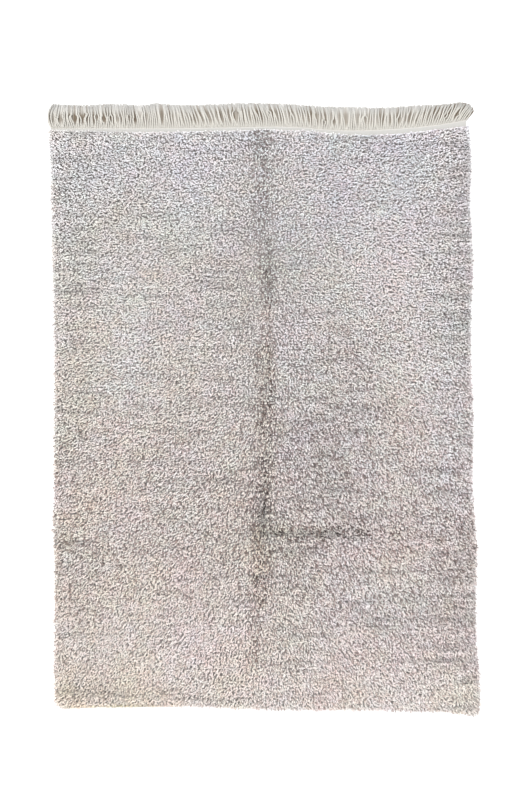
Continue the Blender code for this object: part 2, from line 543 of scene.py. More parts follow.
class GroupMaker(NodeMaker):
    """Builds one shader node group with named inputs and outputs."""

    def __init__(
        self, name: str, inputs: dict[str, float | None], outputs: tuple[str, ...]
    ) -> None:
        """Starts the group.

        Args:
            name: The group's name.
            inputs: The inputs, each with its default number, or None for a vector.
            outputs: The outputs, which are numbers.
        """
        super().__init__(bpy.data.node_groups.new(name, "ShaderNodeTree"))
        for title, default in inputs.items():
            kind = "NodeSocketVector" if default is None else "NodeSocketFloat"
            socket = self.tree.interface.new_socket(title, in_out="INPUT", socket_type=kind)
            if default is not None:
                socket.default_value = default
        for title in outputs:
            self.tree.interface.new_socket(title, in_out="OUTPUT", socket_type="NodeSocketFloat")
        self.given = self.add("NodeGroupInput").outputs
        self.result = self.add("NodeGroupOutput")

    def give(self, title: str, socket: NodeSocket) -> None:
        """Joins a socket to one of the group's outputs."""
        self.feed(self.result.inputs[title], socket)


def make_twist_group() -> NodeTree:
    """The plies of a twisted yarn, as ridges that wind round it.

    Returns:
        A group that takes the yarn map and gives the ridges' height and their grooves.
    """
    maker = GroupMaker(
        "yarn_twist",
        inputs={"Yarn Map": None, "Plies": 2.0, "Turns": 3.0},
        outputs=("Height", "Groove"),
    )
    place = maker.given["Yarn Map"]
    around = maker.math("MULTIPLY", maker.part(place, "X"), maker.given["Plies"])
    along = maker.math("MULTIPLY", maker.part(place, "Y"), maker.given["Turns"])
    turned = maker.math("MULTIPLY", maker.math("ADD", around, along), math.pi)
    ridge = maker.math("ABSOLUTE", maker.math("SINE", turned))
    maker.give("Height", maker.math("POWER", ridge, RIDGE_POWER))
    maker.give("Groove", maker.blend(ridge, (0.0, GROOVE_TOP), (1.0, 0.0)))
    return maker.tree


def make_fibre_group() -> NodeTree:
    """The loose fibres of spun wool, as a fine soft grain.

    Returns:
        A group that takes a place and a fineness and gives a height and a shade about 1.
    """
    maker = GroupMaker(
        "wool_fibre",
        inputs={"Position": None, "Fineness": 400.0, "Depth": 0.2},
        outputs=("Height", "Shade"),
    )
    inputs = {"Vector": maker.given["Position"], "Scale": maker.given["Fineness"]}
    inputs |= {"Detail": FIBRE_DETAIL, "Roughness": FIBRE_ROUGHNESS}
    grain = maker.add("ShaderNodeTexNoise", inputs).outputs["Fac"]
    maker.give("Height", grain)
    swing = maker.math("MULTIPLY", maker.math("SUBTRACT", grain, 0.5), maker.given["Depth"])
    maker.give("Shade", maker.math("ADD", swing, 1.0))
    return maker.tree


def make_painted_flank_shade_group() -> NodeTree:
    """Painted shade on the flanks and underneath of yarns that lie together, where shade gathers.

    Returns:
        A group that takes a surface's normal and gives a shade, 1 where it faces up.
    """
    maker = GroupMaker(
        "yarn_hollow", inputs={"Normal": None, "Flank Shade": 0.5}, outputs=("Shade",)
    )
    lit = maker.blend(maker.part(maker.given["Normal"], "Z"), LIT_SPAN, (0.0, 1.0))
    rest = maker.math("SUBTRACT", 1.0, maker.given["Flank Shade"])
    gained = maker.math("MULTIPLY", lit, rest)
    maker.give("Shade", maker.math("ADD", maker.given["Flank Shade"], gained))
    return maker.tree


@dataclass(frozen=True)
class YarnEffects:
    """The shader node groups of the rug's wool."""

    twist: NodeTree
    fibre: NodeTree
    painted_flank_shade: NodeTree

    @classmethod
    def make(cls) -> "YarnEffects":
        """Builds the groups, once each."""
        return cls(make_twist_group(), make_fibre_group(), make_painted_flank_shade_group())


class FinishMaker(NodeMaker):
    """Builds one material of wool or floor round a Principled shader."""

    specular: float = 0.25
    fuzz_roughness: float = 0.6
    fibre_relief: float = 0.5

    def __init__(self, name: str, roughness: float) -> None:
        """Starts the material.

        Args:
            name: The material's name.
            roughness: How matt it is.
        """
        self.material = bpy.data.materials.new(name)
        self.material.use_nodes = True
        super().__init__(self.material.node_tree)
        self.shader = self.tree.nodes["Principled BSDF"]
        matt = {"Roughness": roughness, "Metallic": 0.0, "Specular IOR Level": self.specular}
        self.dress(matt)

    def dress(self, inputs: dict[str, object]) -> None:
        """Gives the shader's inputs what they take, by name, each a socket or a value."""
        for title, value in inputs.items():
            self.feed(self.shader.inputs[title], value)

    def fuzz(self, weight: float, tint: Rgb) -> None:
        """Sets the soft sheen of loose fibres, by how strong it is and its linear colour."""
        tinted = {"Sheen Weight": weight, "Sheen Tint": (*tint, 1.0)}
        self.dress(tinted | {"Sheen Roughness": self.fuzz_roughness})

    def attribute(self, name: str, output: str = "Fac") -> NodeSocket:
        """A number, or with the output Color a colour, that the piece carries by name."""
        return self.add("ShaderNodeAttribute", attribute_name=name).outputs[output]

    def place(self, output: str) -> NodeSocket:
        """Object coordinates or the surface's normal, as Texture Coordinate names them."""
        return self.add("ShaderNodeTexCoord").outputs[output]

    def group(self, tree: NodeTree, **values: object) -> Node:
        """Places a shader node group.

        Args:
            tree: The group.
            values: Its inputs, with an underscore for each space, each a socket or a number.

        Returns:
            The group's node.
        """
        inputs = {title.replace("_", " "): value for title, value in values.items()}
        return self.add("ShaderNodeGroup", inputs, node_tree=tree)

    def twist(self, effects: YarnEffects, plies: float, turns: float) -> Node:
        """Places the twist of a yarn, by its plies and how often they wind round it."""
        yarn_map = self.add("ShaderNodeUVMap", uv_map=YARN_MAP).outputs["UV"]
        return self.group(effects.twist, Yarn_Map=yarn_map, Plies=plies, Turns=turns)

    def fibre(self, effects: YarnEffects, fineness: float, mottle: float) -> Node:
        """Places the grain of loose fibres, by how fine and how uneven in tone they are."""
        place = self.place("Object")
        return self.group(effects.fibre, Position=place, Fineness=fineness, Depth=mottle)

    def painted_flank_shade(self, effects: YarnEffects, flank_shade: float) -> NodeSocket:
        """Painted shade on the flanks of yarns that lie together, as dark as given."""
        normal = self.place("Normal")
        return self.group(effects.painted_flank_shade, Normal=normal, Flank_Shade=flank_shade).outputs[0]

    def mix(self, share: object, first: object, second: object) -> NodeSocket:
        """Mixes two colours.

        Args:
            share: How much of the second shows, as a socket or a number.
            first: A socket or a linear colour.
            second: A socket or a linear colour.

        Returns:
            The socket that holds the mix.
        """
        node = self.add("ShaderNodeMix", data_type="RGBA")
        sockets = {socket.identifier: socket for socket in node.inputs}
        for title, value in (("Factor_Float", share), ("A_Color", first), ("B_Color", second)):
            self.feed(sockets[title], (*value, 1.0) if isinstance(value, tuple) else value)
        return next(socket for socket in node.outputs if socket.identifier == "Result_Color")

    def color(self, color: NodeSocket, *shades: NodeSocket) -> None:
        """Gives the surface a colour, darkened by any number of shades."""
        self.dress({"Base Color": self.dim(color, *shades)})

    def dim(self, color: NodeSocket, *shades: NodeSocket) -> NodeSocket:
        """Multiplies a colour by shades, each a socket that holds a number."""
        for shade in shades:
            color = self.scale(color, shade)
        return color

    def bump(
        self, yarn: NodeSocket, fibre: NodeSocket, distance: float, strength: float
    ) -> None:
        """Gives the surface the fine relief of its yarn, with its fibres lower on it.

        Args:
            yarn: The socket that holds the height of the yarn, from 0 to 1.
            fibre: The socket that holds the height of the fibres, from 0 to 1.
            distance: How high 1 stands.
            strength: How much of it shows.
        """
        raised = self.math("ADD", self.math("MULTIPLY", fibre, self.fibre_relief), yarn)
        inputs = {"Height": raised, "Distance": distance, "Strength": strength}
        self.dress({"Normal": self.add("ShaderNodeBump", inputs).outputs["Normal"]})


# The finishes.


@dataclass(frozen=True)
class PileFinish:
    """The soft spun wool of the pile. Its colour comes from each tuft, darkened by painted shade
    towards the root, in the grooves between the plies and on the flanks.
    """

    name: str = "pile wool"
    roughness: float = 0.92
    root_shade: float = 0.72
    root_span: Pair = (0.05, 0.75)
    flank_shade: float = 0.92
    groove_shade: float = 0.95
    plies: float = 4.0
    turns: float = 1.2
    fineness: float = 200.0
    mottle: float = 0.9
    sheen: float = 0.25
    sheen_tint: Rgb = (0.95, 0.93, 0.90)
    relief: float = 0.0008
    relief_strength: float = 0.7

    def make(self, effects: YarnEffects) -> Material:
        """Builds the material.

        Args:
            effects: The shared shader node groups.

        Returns:
            The material.
        """
        maker = FinishMaker(self.name, self.roughness)
        maker.fuzz(self.sheen, self.sheen_tint)
        twist = maker.twist(effects, self.plies, self.turns)
        fibre = maker.fibre(effects, self.fineness, self.mottle)
        painted_flank_shade = maker.painted_flank_shade(effects, self.flank_shade)
        # Painted shade: the wool darkens towards the tuft's root, where shade falls between the
        # tufts.
        root_shaded = maker.blend(maker.attribute("along"), self.root_span, (self.root_shade, 1.0))
        # Painted shade in the grooves between the plies.
        groove_shaded = maker.blend(twist.outputs["Groove"], (0.0, 1.0), (1.0, self.groove_shade))
        wool = maker.attribute("wool", "Color")
        maker.color(wool, root_shaded, groove_shaded, fibre.outputs["Shade"], painted_flank_shade)
        height = twist.outputs["Height"]
        maker.bump(height, fibre.outputs["Height"], self.relief, self.relief_strength)
        return maker.material


@dataclass(frozen=True)
class GroundFinish:
    """The wool of the woven ground: bare at the headings, with a painted shaded colour under the
    pile, and painted shade between its warps and between the rows of knots underneath.
    """

    name: str = "ground wool"
    roughness: float = 0.93
    cream: Rgb = (0.428, 0.421, 0.402)
    shaded: Rgb = (0.44, 0.41, 0.40)
    knot_light: Rgb = (0.66, 0.63, 0.59)
    knot_dark: Rgb = (0.30, 0.275, 0.26)
    knot_size: Pair = (0.0063, 0.0065)
    light_knots: float = 0.35
    warp_pitch: float = 0.0054
    ridge_side: float = 0.5
    row_shade: float = 0.62
    warp_shade: float = 0.86
    fineness: float = 600.0
    mottle: float = 0.35
    sheen: float = 0.15
    sheen_tint: Rgb = (0.95, 0.93, 0.88)
    relief: float = 0.0005
    relief_strength: float = 0.8

    def make(self, effects: YarnEffects) -> Material:
        """Builds the material.

        Args:
            effects: The shared shader node groups.

        Returns:
            The material.
        """
        maker = FinishMaker(self.name, self.roughness)
        maker.fuzz(self.sheen, self.sheen_tint)
        place = maker.place("Object")
        fibre = maker.fibre(effects, self.fineness, self.mottle)
        side = (0.0, self.ridge_side)
        warps = self.ridges(maker, place, "X", self.warp_pitch)
        knot_rows = self.ridges(maker, place, "Y", self.knot_size[1])
        knots = maker.mix(self.knot_mask(maker, place), self.knot_light, self.knot_dark)
        # Painted shade between the rows of knots underneath, where the mesh is flat.
        knots = maker.dim(knots, maker.blend(knot_rows, side, (self.row_shade, 1.0)))
        # Painted shade: under the pile the weave takes the shaded colour.
        upper = maker.mix(maker.attribute("covered"), self.cream, self.shaded)
        cloth = maker.mix(maker.attribute("underside"), upper, knots)
        # Painted shade in the grooves between the warps, beside their bump.
        groove_shaded = maker.blend(warps, side, (self.warp_shade, 1.0))
        maker.color(cloth, groove_shaded, fibre.outputs["Shade"])
        maker.bump(warps, fibre.outputs["Height"], self.relief, self.relief_strength)
        return maker.material

    def ridges(self, maker: FinishMaker, place: NodeSocket, axis: str, pitch: float) -> NodeSocket:
        """Soft ridges side by side, as warps make in the weave and rows of knots under it.

        Args:
            maker: The material in the making.
            place: Object coordinates.
            axis: X or Y, the way across the ridges.
            pitch: How far apart they are.

        Returns:
            A height from 0 between two ridges to 1 on a ridge.
        """
        turned = maker.math("MULTIPLY", maker.part(place, axis), math.pi / pitch)
        return maker.math("ABSOLUTE", maker.math("SINE", turned))

    def knot_mask(self, maker: FinishMaker, place: NodeSocket) -> NodeSocket:
        """The backs of the knots, light or dark as the tufts over them.

        Args:
            maker: The material in the making.
            place: Object coordinates.

        Returns:
            0 on a light knot and 1 on a dark one.
        """
        wide, long = self.knot_size
        inputs = {"Vector": place, "Scale": (1 / wide, 1 / long, 1.0)}
        counted = maker.add("ShaderNodeMapping", inputs).outputs[0]
        cell = maker.add("ShaderNodeVectorMath", {0: counted}, operation="FLOOR").outputs[0]
        cast = maker.add("ShaderNodeTexWhiteNoise", {"Vector": cell}, noise_dimensions="2D")
        return maker.blend(cast.outputs["Value"], (self.light_knots, 1.0), (0.0, 1.0))


@dataclass(frozen=True)
class WarpFinish:
    """The smooth cream yarn of the warps, in the fringe and its twined edge. It has painted shade
    on its flanks, and its darkening holds painted shade in the gaps between strands as well as
    uneven darkening from strand to strand.
    """

    name: str = "warp yarn"
    roughness: float = 0.85
    cream: Rgb = (0.585, 0.565, 0.52)
    pale: Rgb = (0.54, 0.535, 0.52)
    # The colour of the darkening: painted shade between strands, and uneven darkening.
    dust_and_shade: Rgb = (0.14, 0.108, 0.075)
    darkening_span: Pair = (-0.3, 0.1)
    flank_shade: float = 0.70
    groove_shade: float = 0.85
    plies: float = 3.0
    turns: float = 26.0
    fineness: float = 500.0
    mottle: float = 0.3
    sheen: float = 0.2
    sheen_tint: Rgb = (0.97, 0.95, 0.90)
    relief: float = 0.0006
    relief_strength: float = 0.6

    def make(self, effects: YarnEffects) -> Material:
        """Builds the material.

        Args:
            effects: The shared shader node groups.

        Returns:
            The material.
        """
        maker = FinishMaker(self.name, self.roughness)
        maker.fuzz(self.sheen, self.sheen_tint)
        twist = maker.twist(effects, self.plies, self.turns)
        fibre = maker.fibre(effects, self.fineness, self.mottle)
        painted_flank_shade = maker.painted_flank_shade(effects, self.flank_shade)
        yarn = maker.mix(maker.attribute("bleach"), self.cream, self.pale)
        # Painted shade and uneven darkening, in the darkening's colour, on faces that turn up.
        upward = maker.blend(maker.part(maker.place("Normal"), "Z"), self.darkening_span, (0.0, 1.0))
        darkening = maker.math("MULTIPLY", maker.attribute("darkening"), upward)
        yarn = maker.mix(darkening, yarn, self.dust_and_shade)
        # Painted shade in the grooves between the plies.
        groove_shaded = maker.blend(twist.outputs["Groove"], (0.0, 1.0), (1.0, self.groove_shade))
        maker.color(yarn, groove_shaded, fibre.outputs["Shade"], painted_flank_shade)
        height = twist.outputs["Height"]
        maker.bump(height, fibre.outputs["Height"], self.relief, self.relief_strength)
        return maker.material


@dataclass(frozen=True)
class FloorFinish:
    """The plain pale floor."""

    name: str = "floor"
    color: Rgb = (0.90, 0.90, 0.90)
    roughness: float = 0.8

    def make(self) -> Material:
        """Builds the material."""
        maker = FinishMaker(self.name, self.roughness)
        maker.dress({"Base Color": (*self.color, 1.0)})
        return maker.material


# The pile.


class Fleece(Enum):
    """The natural fleeces of the pile, each a linear colour and its share of the tufts."""

    IVORY = ((0.806, 0.802, 0.801), 0.56)
    OATMEAL = ((0.639, 0.608, 0.602), 0.24)
    GREY = ((0.418, 0.371, 0.360), 0.20)

    @property
    def color(self) -> Rgb:
        """The linear colour."""
        return self.value[0]

    @property
    def share(self) -> float:
        """The share of the tufts."""
        return self.value[1]


class LeanRow(NamedTuple):
    """How far the tufts lean along the rug, left and right of its middle."""

    along: float
    left: float
    right: float


class ToneRow(NamedTuple):
    """The pile at a distance along the rug.

    It has how light the pile is, its cast of red and straw, and how far apart its light and
    dark wools are.
    """

    along: float
    tone: float
    red: float
    straw: float
    marl: float


class ToneColumn(NamedTuple):
    """The pile at a distance across the rug: how light, its cast of straw and its marl."""

    across: float
    tone: float
    straw: float
    marl: float


class TonePatch(NamedTuple):
    """A soft patch of the pile: its place, half sizes, and what it adds to tone and straw."""

    across: float
    along: float
    half_width: float
    half_length: float
    change: float
    straw: float = 0.0


class Streak(NamedTuple):
    """Uneven wool along the rows of knots: a streak's size, how much it shows and its drift."""

    length: float
    width: float
    amount: float
    layer: float


class CastDrift(NamedTuple):
    """A slow change of the wool's cast: its size, and the drifts of its red and its straw."""

    size: float
    red_layer: float
    straw_layer: float


class Crease(NamedTuple):
    """A crease where the pile parts.

    It has its ends and half width, the share of the tone that its painted shade leaves, how far it
    combs the tufts along itself, and how much warmer its wool looks.
    """

    start: Pair
    end: Pair
    half_width: float
    shade: float
    comb: float
    warmth: float


@dataclass(frozen=True)
class PileCharacter:
    """How the pile leans over the rug, and how light, how warm and how marled it is.

    The painted shade of a crease takes off tone, and the crease adds to the marl crease_marl times
    what it takes off. Of its warmth the share crease_red adds red, and the rest takes off blue.
    """

    lean_rows: tuple[LeanRow, ...] = (
        LeanRow(along=-1.405, left=-0.95, right=-0.78),
        LeanRow(along=-1.375, left=-0.52, right=-0.62),
        LeanRow(along=-0.900, left=-0.57, right=-0.70),
        LeanRow(along=-0.485, left=-0.47, right=-0.72),
        LeanRow(along=0.025, left=-0.42, right=-0.70),
        LeanRow(along=0.375, left=-0.34, right=-0.53),
        LeanRow(along=0.705, left=-0.32, right=-0.40),
        LeanRow(along=1.010, left=-0.15, right=-0.15),
        LeanRow(along=1.295, left=0.0, right=0.0),
    )
    tone_rows: tuple[ToneRow, ...] = (
        ToneRow(along=-1.335, tone=1.16, red=0.088, straw=0.060, marl=0.80),
        ToneRow(along=-1.000, tone=0.98, red=0.079, straw=0.037, marl=0.98),
        ToneRow(along=-0.660, tone=0.875, red=0.099, straw=0.054, marl=1.45),
        ToneRow(along=-0.320, tone=0.93, red=0.078, straw=0.030, marl=1.34),
        ToneRow(along=0.190, tone=1.13, red=0.041, straw=0.028, marl=0.86),
        ToneRow(along=0.700, tone=1.20, red=0.021, straw=0.010, marl=0.60),
        ToneRow(along=1.210, tone=1.25, red=-0.004, straw=-0.028, marl=0.58),
    )
    tone_columns: tuple[ToneColumn, ...] = (
        ToneColumn(across=-0.890, tone=0.98, straw=0.020, marl=1.0),
        ToneColumn(across=-0.550, tone=1.12, straw=0.010, marl=1.05),
        ToneColumn(across=-0.200, tone=1.04, straw=0.0, marl=1.0),
        ToneColumn(across=-0.040, tone=1.02, straw=0.0, marl=1.1),
        ToneColumn(across=0.300, tone=0.98, straw=-0.015, marl=1.35),
        ToneColumn(across=0.640, tone=1.09, straw=-0.020, marl=1.3),
        ToneColumn(across=0.980, tone=0.83, straw=-0.025, marl=1.1),
    )
    patches: tuple[TonePatch, ...] = (
        TonePatch(0.54, 0.72, 0.21, 0.16, 0.51),
        TonePatch(0.63, 0.53, 0.16, 0.13, 0.15),
        TonePatch(-0.70, 0.28, 0.18, 0.22, 0.21),
        TonePatch(-0.75, -0.46, 0.17, 0.20, 0.24),
        TonePatch(-0.65, -0.14, 0.17, 0.11, 0.17),
        TonePatch(-0.56, -1.04, 0.38, 0.16, 0.19),
        TonePatch(-0.75, -1.34, 0.42, 0.06, -0.34, 0.02),
        TonePatch(-0.04, -1.33, 0.14, 0.08, 0.30),
        TonePatch(-0.46, -1.33, 0.12, 0.06, -0.10),
        TonePatch(0.64, -1.33, 0.14, 0.07, 0.08),
        TonePatch(-0.12, -1.14, 0.16, 0.12, 0.14),
        TonePatch(0.76, 0.17, 0.18, 0.13, 0.22),
        TonePatch(0.37, 0.31, 0.14, 0.10, -0.08),
        TonePatch(0.34, -0.02, 0.20, 0.30, -0.21),
        TonePatch(0.36, -0.46, 0.17, 0.18, -0.13),
        TonePatch(0.70, -0.55, 0.16, 0.05, -0.12),
        TonePatch(0.72, -0.66, 0.20, 0.03, 0.10),
        TonePatch(0.13, 1.21, 0.12, 0.07, 0.10),
        TonePatch(0.97, -0.25, 0.08, 0.25, 0.10),
        TonePatch(0.76, -1.03, 0.23, 0.19, -0.18),
        TonePatch(0.97, 0.44, 0.07, 0.18, -0.15),
        TonePatch(0.96, 1.00, 0.11, 0.24, -0.18),
        TonePatch(0.99, 1.22, 0.07, 0.09, -0.14),
        TonePatch(0.99, -0.16, 0.06, 0.08, -0.14),
        TonePatch(-0.72, 0.85, 0.32, 0.24, -0.12),
        TonePatch(0.20, 1.08, 0.32, 0.14, 0.27),
        TonePatch(-0.84, 1.12, 0.15, 0.14, -0.15),
        TonePatch(-0.40, 0.65, 0.22, 0.13, -0.17),
        TonePatch(-0.72, 1.25, 0.12, 0.06, -0.12),
        TonePatch(0.66, 1.21, 0.32, 0.07, -0.08),
        TonePatch(-0.03, 1.262, 0.09, 0.035, -0.22),
        TonePatch(-0.56, 1.262, 0.13, 0.009, -0.20),
        TonePatch(-0.94, 1.040, 0.12, 0.009, -0.20),
        TonePatch(-0.53, 0.465, 0.45, 0.010, -0.14),
        TonePatch(-0.53, 0.150, 0.45, 0.010, -0.18),
        TonePatch(-0.42, 0.000, 0.30, 0.012, -0.14),
        TonePatch(-0.50, -0.245, 0.45, 0.010, -0.20),
        TonePatch(-0.35, -0.355, 0.12, 0.009, -0.14),
        TonePatch(-0.60, -0.655, 0.45, 0.010, -0.18),
        TonePatch(-0.83, -0.855, 0.20, 0.010, -0.12),
        TonePatch(0.27, -1.155, 0.24, 0.010, -0.16),
        TonePatch(0.78, -1.200, 0.24, 0.014, -0.10),
        TonePatch(0.50, -0.640, 0.40, 0.014, 0.10),
        TonePatch(-0.03, -0.500, 0.07, 0.06, -0.16),
        TonePatch(0.15, -0.680, 0.14, 0.06, -0.08),
        TonePatch(-0.83, -0.526, 0.20, 0.010, 0.12),
        TonePatch(0.72, 0.507, 0.24, 0.010, 0.14),
        TonePatch(0.72, 1.073, 0.24, 0.010, 0.14),
        TonePatch(-0.92, -1.36, 0.10, 0.10, 0.0, 0.07),
        TonePatch(0.95, -1.38, 0.10, 0.09, 0.0, 0.06),
        TonePatch(-0.69, -1.408, 0.22, 0.007, -0.22, 0.16),
        TonePatch(0.27, 0.252, 0.24, 0.010, 0.12),
    )
    streaks: tuple[Streak, ...] = (
        Streak(length=0.34, width=0.020, amount=0.41, layer=77.0),
        Streak(length=0.13, width=0.012, amount=0.22, layer=87.0),
        Streak(length=0.90, width=0.036, amount=0.14, layer=97.0),
    )
    cast_drifts: tuple[CastDrift, ...] = (
        CastDrift(size=0.25, red_layer=91.0, straw_layer=96.0),
        CastDrift(size=0.06, red_layer=101.0, straw_layer=106.0),
    )
    cast_change: float = 0.05
    creases: tuple[Crease, ...] = (
        Crease((-0.008, 1.300), (-0.006, 0.810), 0.074, 0.65, 0.4, 0.03),
        Crease((0.006, 0.810), (0.020, 0.500), 0.068, 0.55, 0.5, 0.07),
        Crease((0.020, 0.500), (0.014, 0.280), 0.050, 0.78, 0.5, 0.12),
        Crease((0.012, 0.280), (0.010, -0.300), 0.079, 0.56, 0.5, 0.15),
        Crease((0.010, -0.300), (-0.008, -0.573), 0.068, 0.45, 0.5, 0.12),
        Crease((-0.004, -0.480), (-0.010, -0.590), 0.058, 0.30, 0.4, 0.14),
        Crease((-0.020, -0.573), (-0.022, -0.900), 0.074, 0.57, 0.4, 0.17),
        Crease((-0.022, -0.900), (-0.048, -1.180), 0.052, 0.77, 0.4, 0.08),
        Crease((-0.010, -0.588), (0.480, -0.588), 0.052, 0.39, 0.3, 0.13),
        Crease((0.480, -0.588), (0.830, -0.600), 0.044, 0.80, 0.2, 0.05),
    )
    ragged: float = 0.45
    ragged_size: float = 0.035
    ragged_reach: float = 2.0
    ragged_layer: float = 66.0
    crease_lean: float = 0.8
    crease_marl: float = 5.4
    crease_red: float = 0.6
    middle: float = -0.002
    parting: float = 0.16
    spread: float = 0.62
    spread_end: float = 4.2
    clump_size: float = 0.05
    clump_sway: float = 0.15
    clump_layers: Pair = (3.1, 8.1)
    loose_sway: float = 0.14

    def leans(self, places: np.ndarray, draws: np.random.Generator) -> np.ndarray:
        """How far the tip of each tuft stands off its root, for each metre of height.

        Args:
            places: The tufts' roots in plan, one row each.
            draws: The source of the uneven share.

        Returns:
            The lean across and along, one row for each tuft.
        """
        x, y = places.T
        side = np.tanh((x - self.middle) / self.parting)
        left = read_rows(self.lean_rows, "left", y)
        right = read_rows(self.lean_rows, "right", y)
        across = side * self.spread * (1 - np.abs(x) / self.spread_end)
        along = left + (right - left) * (side + 1) / 2
        lean = np.column_stack([across, along])
        for axis, layer in enumerate(self.clump_layers):
            lean[:, axis] += self.clump_sway * drift(places, self.clump_size, layer)
        lean += draws.normal(0.0, self.loose_sway, lean.shape)
        for crease in self.creases:
            run = np.subtract(crease.end, crease.start)
            run = run / np.hypot(*run)
            share = crease.comb * self.nearness(places, crease)[:, None]
            combed = run * np.sign(lean @ run)[:, None] * self.crease_lean
            lean = lean * (1 - share) + combed * share
        return lean

    def nearness(self, places: np.ndarray, crease: Crease) -> np.ndarray:
        """How deep in a crease each place lies.

        Args:
            places: The places in plan, one row each.
            crease: The crease.

        Returns:
            1 on its middle line and 0 outside its ragged edge, about its half width away.
        """
        start, run = np.array(crease.start), np.subtract(crease.end, crease.start)
        share = np.clip((places - start) @ run / (run @ run), 0.0, 1.0)
        away = np.hypot(*(places - start - share[:, None] * run).T)
        near = away < self.ragged_reach * crease.half_width
        depth = np.zeros(len(places))
        swing = 1 + self.ragged * drift(places[near], self.ragged_size, self.ragged_layer)
        depth[near] = ease(1 - away[near] * swing / crease.half_width)
        return depth

    def crease_shade(self, places: np.ndarray) -> np.ndarray:
        """The painted shade of the creases: what they multiply the pile's tone by at each place."""
        shade = np.ones(len(places))
        for crease in self.creases:
            shade = np.minimum(shade, 1 - (1 - crease.shade) * self.nearness(places, crease))
        return shade

    def patch_share(self, places: np.ndarray, patch: TonePatch) -> np.ndarray:
        """How much of a patch shows at each place, 1 at its middle."""
        away = (places - (patch.across, patch.along)) / (patch.half_width, patch.half_length)
        return np.exp(-(away**2).sum(1))

    def tones(self, places: np.ndarray) -> np.ndarray:
        """How light the pile is at each place, about 1."""
        x, y = places.T
        tone = read_rows(self.tone_rows, "tone", y) * read_rows(self.tone_columns, "tone", x)
        for patch in self.patches:
            tone += patch.change * self.patch_share(places, patch)
        for streak in self.streaks:
            stretched = places * (streak.width / streak.length, 1.0)
            tone *= 1 + streak.amount * drift(stretched, streak.width, streak.layer)
        # Painted shade darkens the pile in the creases.
        return tone * self.crease_shade(places)

    def marls(self, places: np.ndarray) -> np.ndarray:
        """How far apart the light and dark wools are at each place, about 1."""
        x, y = places.T
        marl = read_rows(self.tone_rows, "marl", y) * read_rows(self.tone_columns, "marl", x)
        return marl + self.crease_marl * (1 - self.crease_shade(places))

    def casts(self, places: np.ndarray) -> np.ndarray:
        """What the pile's cast multiplies its red, green and blue by at each place."""
        x, y = places.T
        red = read_rows(self.tone_rows, "red", y)
        straw = read_rows(self.tone_rows, "straw", y) + read_rows(self.tone_columns, "straw", x)
        warmth = np.zeros(len(x))
        for crease in self.creases:
            warmth = np.maximum(warmth, crease.warmth * self.nearness(places, crease))
        red += self.crease_red * warmth
        straw += (1 - self.crease_red) * warmth
        for patch in self.patches:
            if patch.straw:
                straw += patch.straw * self.patch_share(places, patch)
        for cast in self.cast_drifts:
            red += self.cast_change * drift(places, cast.size, cast.red_layer)
            straw += self.cast_change * drift(places, cast.size, cast.straw_layer)
        return np.column_stack([1 + red, np.ones(len(x)), 1 - straw])


@dataclass
class Tuft:
    """One yarn end of the pile, upright and of unit height, in a few shapes.

    It is widest at the share of its height that middle gives, and drawn to a point at both
    its root and its tip.
    """

    sides: int = 3
    radius: float = 0.0034
    middle: float = 0.86
    curl: float = 0.0008
    shapes: int = 6
    map_margin: float = 0.03
    seed: int = 7

    def model(self, material: Material) -> list[Object]:
        """Models each shape of the tuft.

        Args:
            material: The finish of the wool.

        Returns:
            The shapes, each an object.
        """
        draws = np.random.default_rng(self.seed)
        return [self.model_shape(number, material, draws) for number in range(self.shapes)]

    def model_shape(self, number: int, material: Material, draws: np.random.Generator) -> Object:
        """Models one shape of the tuft: its tip is a cone, whose base is drawn down to the root.

        Args:
            number: Its number among the shapes.
            material: The finish of the wool.
            draws: The source of its curl.

        Returns:
            The object.
        """
        deselect_all()
        bpy.ops.mesh.primitive_cone_add(
            vertices=self.sides,
            radius1=self.radius,
            radius2=0.0,
            depth=1.0 - self.middle,
            end_fill_type="NGON",
            location=(0.0, 0.0, (1.0 + self.middle) / 2),
        )
        tuft = name_new(f"tuft_shape_{number}")
        bpy.ops.object.transform_apply(location=True, rotation=False, scale=False)
        edit(tuft)
        bpy.ops.mesh.select_mode(type="FACE")
        bpy.ops.mesh.select_all(action="DESELECT")
        leave_edit()
        for face in tuft.data.polygons:
            face.select = face.normal.z < -LEVEL_NORMAL
        edit(tuft)
        bpy.ops.mesh.extrude_region_move(TRANSFORM_OT_translate={"value": (0, 0, -self.middle)})
        bpy.ops.mesh.merge(type="CENTER")
        bpy.ops.mesh.select_mode(type="VERT")
        face_outwards()
        points = points_of(tuft.data)
        store_values(tuft.data, "along", points[:, 2])
        points[:, :2] += draws.normal(0.0, self.curl, (len(points), 2))
        move_points(tuft.data, points)
        tuft.data.shade_smooth()
        tuft.data.materials.append(material)
        self.map_yarn(tuft.data)
        return tuft

    def map_yarn(self, mesh: Mesh) -> None:
        """Maps the sides of a tuft side by side, each from its root to its tip.

        Every face has two vertices of the ring and one end.

        Args:
            mesh: The tuft's mesh, whose first vertices are the ring.
        """
        layer = yarn_layer(mesh)
        last = self.sides - 1
        for face in mesh.polygons:
            ring = sorted(vertex for vertex in face.vertices if vertex <= last)
            first = last if ring == [0, last] else ring[0]
            for loop in face.loop_indices:
                vertex = mesh.loops[loop].vertex_index
                around = first + 0.5 if vertex > last else first + (vertex != first)
                up = self.map_margin + (1 - 2 * self.map_margin) * mesh.vertices[vertex].co.z
                layer.uv[loop].vector = (around / self.sides, up)


